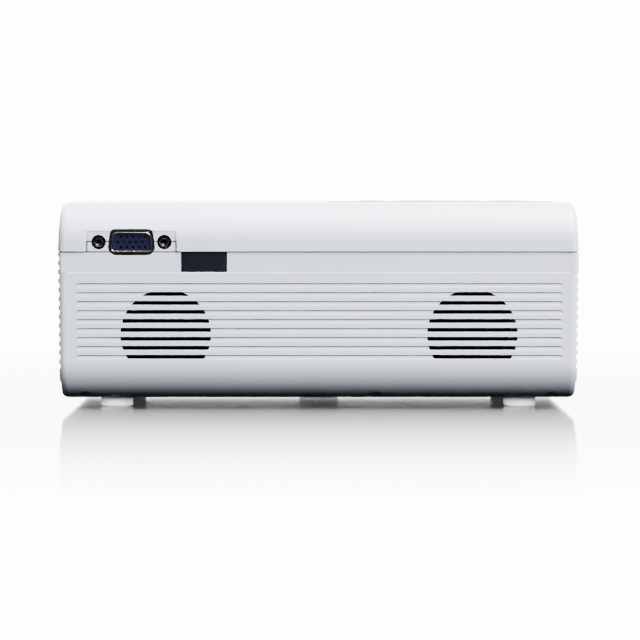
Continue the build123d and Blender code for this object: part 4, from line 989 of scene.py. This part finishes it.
@dataclass
class Electronics(SubAssembly):
    """Boards and the sockets that they carry.

    Args:
        pin_pitch: Distance between the holes of the video socket, along X and up.
        sleeve: Radius, length, wall and bore depth of the gold contact in each hole.
        sleeve_place: From the insert's face to the contact's middle.
        shell_metal: Thickness of the video socket's shell.
        shell_flare: How much wider its foot would be without round corners.
        shell_slant: Slant of its sides, in degrees.
        shell_corner: Radius of its corners.
        shell_round: Rounding of its rim.
        mouth: From a side socket's mouth to its tongue and its contacts, and their thickness.
        tongue_rounds: Rounding of a tongue's end and of the contacts' ends.
        chip_place: From the main board's middle to the large chip's.
        chip_half: Half the side of the chip.
        leg_pitch: Distance between its legs.
        legs: Number of legs on each side of it.
        leg: Width and thickness of a leg, and its height above the board.
        leg_runs: How far a leg goes straight out, down at a slant and along the board.
        can_place: From the main board's middle to the top of the first capacitor.
        can_pitch: From there to the second.
        lid: Radius, thickness, rim and dip of a capacitor's aluminium lid.
        tape_low: From the power board's middle to the lowest corner of the transformer's tape.
        tape_high: The same to its highest corner.
        tape_corner: Radius of its corners.
    """

    pin_pitch: Pair = (2.3, 1.98)
    sleeve: Four = (0.42, 3.0, 0.12, 2.4)
    sleeve_place: float = 4.2
    shell_metal: float = 0.45
    shell_flare: float = 0.48
    shell_slant: float = 8.0
    shell_corner: float = 1.6
    shell_round: float = 0.18
    mouth: Three = (0.3, 0.9, 0.06)
    tongue_rounds: Pair = (0.2, 0.05)
    chip_place: Three = (4.0, 0.0, 0.0)
    chip_half: float = 7.0
    leg_pitch: float = 0.8
    legs: int = 15
    leg: Three = (0.34, 0.17, 0.55)
    leg_runs: Three = (0.5, 0.3, 0.6)
    can_place: Three = (2.0, 22.0, 11.0)
    can_pitch: float = 12.0
    lid: Four = (3.5, 0.1, 0.3, 0.04)
    tape_low: Three = (-16.7, -6.0, 3.0)
    tape_high: Three = (0.7, 6.0, 18.2)
    tape_corner: float = 0.6

    DRESS: ClassVar = {
        GREEN_BOARD: ("main_board", "power_board"),
        CHIP_EPOXY: ("board_chips", "power_parts"),
        BLACK_PBT: ("vga_housing", "av_jack", "mains_inlet"),
        NICKEL: ("vga_shell", "hdmi_socket", "usb_socket", "card_slot", "inlet_pins"),
        BLACK_NICKEL: ("vga_standoffs",),
        NAVY_PBT: ("vga_insert",),
    }

    def video_shell(self) -> None:
        """Draw the video socket's shell with a rounded rim, in place of the plain one."""
        low, high = span("vga_shell")
        middle = (low + high) / 2
        width = high.x - low.x + self.shell_flare
        left, right = middle.x - width / 2, middle.x + width / 2
        shell = block("video_shell", (left, low.y, low.z), (right, high.y, high.z))
        pick(shell, facing(0, 0, 1))
        narrow = 1 - 2 * math.tan(math.radians(self.shell_slant)) * (high.z - low.z) / width
        bpy.ops.transform.resize(value=(narrow, 1, 1), center_override=middle * MM)
        pick(shell, edges=along("y"))
        soften(self.shell_corner, 5)

        def flat(face: bmesh.types.BMFace) -> bool:
            """Whether a face looks forwards or backwards."""
            return abs(face.normal.y) > FACING_COSINE

        pick(shell, flat)
        inset(self.shell_metal)
        bpy.ops.mesh.bridge_edge_loops()
        front = on_plane("y", low.y)
        # The edges between the front's flat rim and the walls
        ease(
            shell,
            lambda edge: front(edge) and sum(map(flat, edge.link_faces)) == 1,
            self.shell_round,
            angle=40,
        )
        self.finish(shell, NICKEL, "nickel_shell")
        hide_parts("vga_shell")

    def video_contacts(self) -> None:
        """Make the fifteen gold sleeves in the video socket's insert."""
        low, high = span("vga_insert")
        middle = (low + high) / 2
        across, up = self.pin_pitch
        radius, length, wall, bore = self.sleeve
        places = [
            Vector((
                middle.x + (across if row else -across) / 4 + column * across,
                low.y + self.sleeve_place,
                middle.z - row * up,
            ))
            for row in (-1, 0, 1)
            for column in range(-2, 3)
        ]
        sleeve = rod("video_contacts", places[0], radius, length, "Y", 12)
        pick(sleeve, facing(0, -1, 0))
        inset(wall)
        push(0, bore, 0)
        close(sleeve)
        self.finish(copies(sleeve, [place - places[0] for place in places[1:]]), GOLD, "brass")

    def tongue(
        self, socket: str, rise: float, width: float, height: float, depth: float, contacts: int
    ) -> None:
        """Sleeve a side socket's tongue in plastic and lay its contacts along it.

        Args:
            socket: CAD node of the socket.
            rise: From the socket's middle up to the tongue's.
            width: Width of the tongue.
            height: Its height.
            depth: From the mouth to its far end.
            contacts: Number of contacts.
        """
        low, high = span(socket)
        middle_y, z = (low.y + high.y) / 2, (low.z + high.z) / 2 + rise
        near, tip, metal = low.x + self.mouth[0], low.x + self.mouth[1], self.mouth[2]
        far, under = low.x + depth, z - height / 2
        tongue = block(
            socket + "_tongue",
            (near, middle_y - width / 2, under),
            (far, middle_y + width / 2, z + height / 2),
        )
        ease(tongue, on_plane("x", near), self.tongue_rounds[0], 2)
        self.finish(tongue, BLACK_PBT, "black_plastic")
        # The contacts keep 0.4 from the tongue's sides and are six tenths of their pitch wide
        pitch = (width - 0.8) / contacts
        first, half = middle_y - pitch * (contacts - 1) / 2, pitch * 0.3
        low, high = (tip, first - half, under - metal), (far, first + half, under)
        strip = block(socket + "_contacts", low, high)
        ease(strip, on_plane("x", tip), self.tongue_rounds[1], 2)
        strips = copies(strip, [(0, pitch * i, 0) for i in range(1, contacts)])
        self.finish(strips, GOLD, "brass")

    def chip_legs(self) -> None:
        """Stand the large chip on its bent legs."""
        chip = top("main_board") + Vector(self.chip_place)
        width, metal, rise = self.leg
        out, slant, foot = self.leg_runs
        x, z = chip.x + self.chip_half, chip.z + rise
        y = chip.y - self.leg_pitch * (self.legs - 1) / 2
        leg = block("chip_legs", (x, y - width / 2, z), (x + out, y + width / 2, z + metal))
        pick(leg, facing(1, 0, 0))
        push(slant, 0, -rise)
        push(foot, 0, 0)
        close(leg)
        sides = [copies(leg, [(0, self.leg_pitch * i, 0) for i in range(1, self.legs)])]
        for degrees in (90, 180, 270):
            sides.append(twin(sides[0]))
            turn(sides[-1], degrees, chip)
            clear()
        self.finish(join("chip_legs", sides), TINNED, "nickel_shell")

    def capacitor_tops(self) -> None:
        """Put the aluminium lids on the capacitors of the main board."""
        radius, metal, rim, dip = self.lid
        middle = top("main_board") + Vector(self.can_place) + Vector((0, 0, metal / 2))
        lid = rod("capacitor_tops", middle, radius, metal, "Z", 32)
        pick(lid, facing(0, 0, 1))
        inset(rim)
        push(0, 0, -dip)
        close(lid)
        self.finish(copies(lid, [(self.can_pitch, 0, 0)]), ALUMINIUM, "aluminium")

    def transformer_tape(self) -> None:
        """Wind the yellow tape round the transformer."""
        board = top("power_board")
        low, high = board + Vector(self.tape_low), board + Vector(self.tape_high)
        tape = ease(block("transformer_tape", low, high), along("y"), self.tape_corner)
        self.finish(tape, YELLOW_TAPE, "light_guide")

    def build(self) -> None:
        """Make the contacts and the parts on the boards."""
        self.video_shell()
        self.video_contacts()
        self.tongue("hdmi_socket", rise=0.3, width=12.1, height=1.0, depth=8.9, contacts=10)
        self.tongue("usb_socket", rise=1.2, width=10.9, height=1.9, depth=10.9, contacts=4)
        self.chip_legs()
        self.capacitor_tops()
        self.transformer_tape()


@dataclass
class Optics(SubAssembly):
    """Light path and lens.

    Args:
        led_plate: Thickness of the LED's plate.
        led_rise: Height of the LED's base on the plate.
    """

    led_plate: float = 2.0
    led_rise: float = 1.5

    # Points of radius and place along the axis: of the phosphor from the LED's base, and of the
    # stepped ring from the barrel's front
    PHOSPHOR_OUTLINE: ClassVar = [(0.0, 0.0), (7.5, 0.0), (7.5, -0.3), (6.3, -0.7), (0.0, -0.8)]
    RING_OUTLINE: ClassVar = [
        (17.05, -6.5), (17.05, -4.0), (16.7, -3.6), (16.2, -3.6), (16.2, -4.2),
        (15.8, -4.2), (15.8, -4.8), (15.4, -4.8), (15.4, -5.6), (16.2, -6.5),
    ]

    DRESS: ClassVar = {
        LED_PLATE: ("led_module",),
        ALUMINIUM: ("heat_sink",),
        OPTICAL_GLASS: ("condenser_lens", "rear_fresnel", "heat_glass", "front_fresnel"),
        LENS_GLASS: ("lens_elements",),
        LCD_GLASS: ("lcd_panel",),
        MIRROR_GLASS: ("fold_mirror",),
        DARK_PC: ("light_tunnel", "lcd_frame", "mirror_box", "lens_mount"),
        BLACK_PBT: ("focus_ring", "lens_barrel", "lens_bezel"),
    }

    def phosphor(self) -> None:
        """Cast the phosphor on the LED."""
        low, high = span("led_module")
        frame_low, frame_high = span("lcd_frame")
        base_x = high.x - self.led_plate - self.led_rise
        middle = (base_x, (frame_low.y + frame_high.y) / 2, (low.z + high.z) / 2)
        cap = lathe("led_phosphor", self.PHOSPHOR_OUTLINE, middle, "X", 32)
        self.finish(cap, PHOSPHOR, "led_white")

    def retaining_ring(self) -> None:
        """Screw the stepped ring in front of the first lens."""
        low, high = span("focus_ring")
        _, barrel_high = span("lens_barrel")
        middle = ((low.x + high.x) / 2, barrel_high.y, (low.z + high.z) / 2)
        ring = lathe("lens_retaining_ring", self.RING_OUTLINE, middle, "Y", 64)
        self.finish(ring, BLACK_PBT, "black_plastic", "lens_barrel")

    def build(self) -> None:
        """Make the phosphor and the retaining ring."""
        self.phosphor()
        self.retaining_ring()


@dataclass
class Cooling(SubAssembly):
    """The exhaust fan and the intake fan, which need no more pieces."""

    DRESS: ClassVar = {
        DARK_PC: ("exhaust_fan_frame", "intake_fan_frame"),
        BLACK_PBT: ("exhaust_fan_rotor", "intake_fan_rotor"),
    }


@dataclass(frozen=True)
class Lamp:
    """One softbox of the studio, in metres.

    Args:
        name: Name of the lamp.
        place: Where it hangs.
        aim: Point that it faces.
        size: Its width and height.
        watts: Its power.
        spread: How wide its light fans out, in degrees.
    """

    name: str
    place: Three
    aim: Three
    size: Pair
    watts: float
    spread: float = 180.0

    def hang(self) -> None:
        """Hang the lamp and turn it to its aim."""
        data = bpy.data.lights.new(self.name, "AREA")
        data.shape = "RECTANGLE"
        data.size, data.size_y = self.size
        data.energy = self.watts
        data.spread = math.radians(self.spread)
        lamp = bpy.data.objects.new(self.name, data)
        bpy.context.scene.collection.objects.link(lamp)
        lamp.location = self.place
        aim = Vector(self.aim) - Vector(self.place)
        lamp.rotation_euler = aim.to_track_quat("-Z", "Y").to_euler()


# The foot light is a thin strip on the floor behind the case that lights little but the feet
LAMPS = (
    Lamp("overhead softbox", (0.5, -0.2, 1.3), (0, 0, 0), (0.9, 0.9), 120.0),
    Lamp("foot light", (0, BACK_Y - 0.15, 0.001), (0, BACK_Y, 0.001), (0.2, 0.002), 0.005, 1.4),
    Lamp("far softbox", (-0.9, 1.5, 0.9), (0, 0, 0.04), (0.8, 0.8), 30.0),
    Lamp("front softbox", (0.75, -1.4, 1.33), (0, 0, 0.04), (1.25, 1.25), 97.0),
)


@dataclass
class Studio:
    """Floor, sheet, room, lamps and camera, in metres.

    Args:
        focal_px: Focal length in pixels of the frame.
        horizon_px: Height of the horizon above the middle of the frame.
        aside_px: How far left of the frame's middle the object's middle stands.
        distance: From the camera to the back of the case.
        eye: Height of the camera above the floor.
        floor_side: Side of the floor.
        floor_colour: sRGB hex of the floor.
        floor_roughness: Roughness of its gloss.
        shade: Distance at which the painted shadow of the case on the floor ends, and the power of that
            painted shadow.
        gloss_reach: Distance from the object at which the floor's gloss ends.
        glow: Share of plain lit white in the floor at the case, and the power of its rise.
        sheet_size: Width and height of the sheet behind the object.
        sheet_place: Its distance and the height of its middle.
        brightness: Brightness of the sheet and of the far floor.
        room_colour: sRGB hex of the room's light.
        room_heights: Where in the sky, from 0 to 1, the room is dimmest and brightest.
        room_dim: Its brightness where it is dimmest.
    """

    focal_px: float = 3418.0
    horizon_px: float = 135.0
    aside_px: float = 1.7
    distance: float = 1.3
    eye: float = 0.0854
    floor_side: float = 12.0
    floor_colour: str = "#9A9B9D"
    floor_roughness: float = 0.07
    shade: Pair = (0.3, 1.4)
    gloss_reach: float = 0.375
    glow: Pair = (0.05, 2.0)
    sheet_size: Pair = (2.4, 1.1)
    sheet_place: Pair = (2.5, 0.5)
    brightness: float = 14.0
    room_colour: str = "#F0F4FF"
    room_heights: Pair = (0.15, 0.7)
    room_dim: float = 0.01

    def camera(self) -> None:
        """Place the camera at the photograph's angle."""
        data = bpy.data.cameras.new("camera")
        data.angle = 2 * math.atan(HALF_FRAME_PX / self.focal_px)
        data.clip_start = 0.05
        data.clip_end = 20
        eye = bpy.data.objects.new("camera", data)
        bpy.context.scene.collection.objects.link(eye)
        eye.location = (0, BACK_Y - self.distance, self.eye)
        eye.rotation_euler = (
            math.pi / 2 - math.atan(self.horizon_px / self.focal_px),
            0,
            -math.atan(self.aside_px / self.focal_px),
        )
        bpy.context.scene.camera = eye

    def plane(self, name: str, size: float) -> Piece:
        """Add a plane of the stage that gives the object no diffuse light.

        Args:
            name: Its name.
            size: Its side, in metres.

        Returns:
            The plane, flat on the floor.
        """
        clear()
        bpy.ops.mesh.primitive_plane_add(size=size)
        plane = bpy.context.object
        plane.name = name
        plane.visible_diffuse = False
        return plane

    def floor(self) -> None:
        """Lay a glossy white floor, darkened round the case by a painted shadow, that turns to plain lit
        white away from the object.
        """
        floor = self.plane("floor", self.floor_side)
        floor.visible_glossy = False
        material, gloss = start_material("White acrylic sheet, glossy")
        tree = material.node_tree
        # The case's painted shadow: ambient occlusion darkens the floor's colour round its foot
        reach, power = self.shade
        open_sky = add_node(tree, "AmbientOcclusion", {"Distance": reach}, "AO", samples=16)
        shade = add_node(tree, "Math", {0: open_sky, 1: power}, operation="POWER")
        plain = {0: linear(self.floor_colour)[:3], "Scale": shade}
        painted_shadow_colour = add_node(tree, "VectorMath", plain, operation="SCALE")
        wire(tree, gloss, {"Base Color": painted_shadow_colour, "Roughness": self.floor_roughness})
        # Distance from the object's box
        away = add_node(tree, "TexCoord", out="Object")
        away = add_node(tree, "VectorMath", {0: away}, operation="ABSOLUTE")
        corner = (CAD_BOX[1][0], CAD_BOX[1][1], 0.0)
        away = add_node(tree, "VectorMath", {0: away, 1: corner}, operation="SUBTRACT")
        away = add_node(tree, "VectorMath", {0: away, 1: (0, 0, 0)}, operation="MAXIMUM")
        away = add_node(tree, "VectorMath", {0: away}, "Value", operation="LENGTH")
        least, power = self.glow
        limits = {"Value": away, "From Max": self.gloss_reach, "To Min": least}
        glow = add_node(tree, "MapRange", limits)
        glow = add_node(tree, "Math", {0: glow, 1: power}, operation="POWER")
        lit = add_node(tree, "Emission", {"Color": linear("#FFFFFF"), "Strength": self.brightness})
        both = add_node(tree, "MixShader", {0: glow, 1: gloss.outputs[0], 2: lit})
        wire(tree, tree.nodes["Material Output"], {"Surface": both})
        floor.data.materials.append(material)

    def backdrop(self) -> None:
        """Hang a bright white sheet behind the object, seen by the camera and by glossy surfaces."""
        sheet = self.plane("backdrop", 1)
        away, up = self.sheet_place
        bpy.ops.transform.resize(value=(*self.sheet_size, 1))
        bpy.ops.transform.rotate(value=math.pi / 2, orient_axis="X", center_override=(0, 0, 0))
        bpy.ops.transform.translate(value=(0, away, up))
        bpy.ops.object.transform_apply()
        material, shader = start_material("Lit white sheet")
        white = {"Emission Color": linear("#FFFFFF"), "Emission Strength": self.brightness}
        wire(material.node_tree, shader, {"Base Color": (0, 0, 0, 1), **white})
        sheet.data.materials.append(material)

    def room(self) -> None:
        """Put a pale room round the object, bright above and dim at the horizon."""
        world = bpy.data.worlds.new("pale room")
        world.use_nodes = True
        tree = world.node_tree
        up = add_node(tree, "SeparateXYZ", {0: add_node(tree, "TexCoord", out="Generated")}, "Z")
        low, high = self.room_heights
        limits = {"Value": up, "From Min": low, "From Max": high, "To Min": self.room_dim}
        shade = add_node(tree, "MapRange", limits)
        seen = add_node(tree, "LightPath", out="Is Camera Ray")
        strength = add_node(tree, "Mix", {0: seen, 2: shade, 3: self.brightness})
        light = {"Color": linear(self.room_colour), "Strength": strength}
        wire(tree, tree.nodes["Background"], light)
        bpy.context.scene.world = world


def main() -> None:
    """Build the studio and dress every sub-assembly."""
    logging.basicConfig(level=logging.INFO, format="%(message)s")
    studio = Studio()
    studio.camera()
    for sub_assembly in (Casing(), Keypad(), Sound(), Electronics(), Optics(), Cooling()):
        sub_assembly.dress()
        sub_assembly.build()
    studio.floor()
    studio.backdrop()
    studio.room()
    for lamp in LAMPS:
        lamp.hang()


if __name__ == "__main__":
    main()
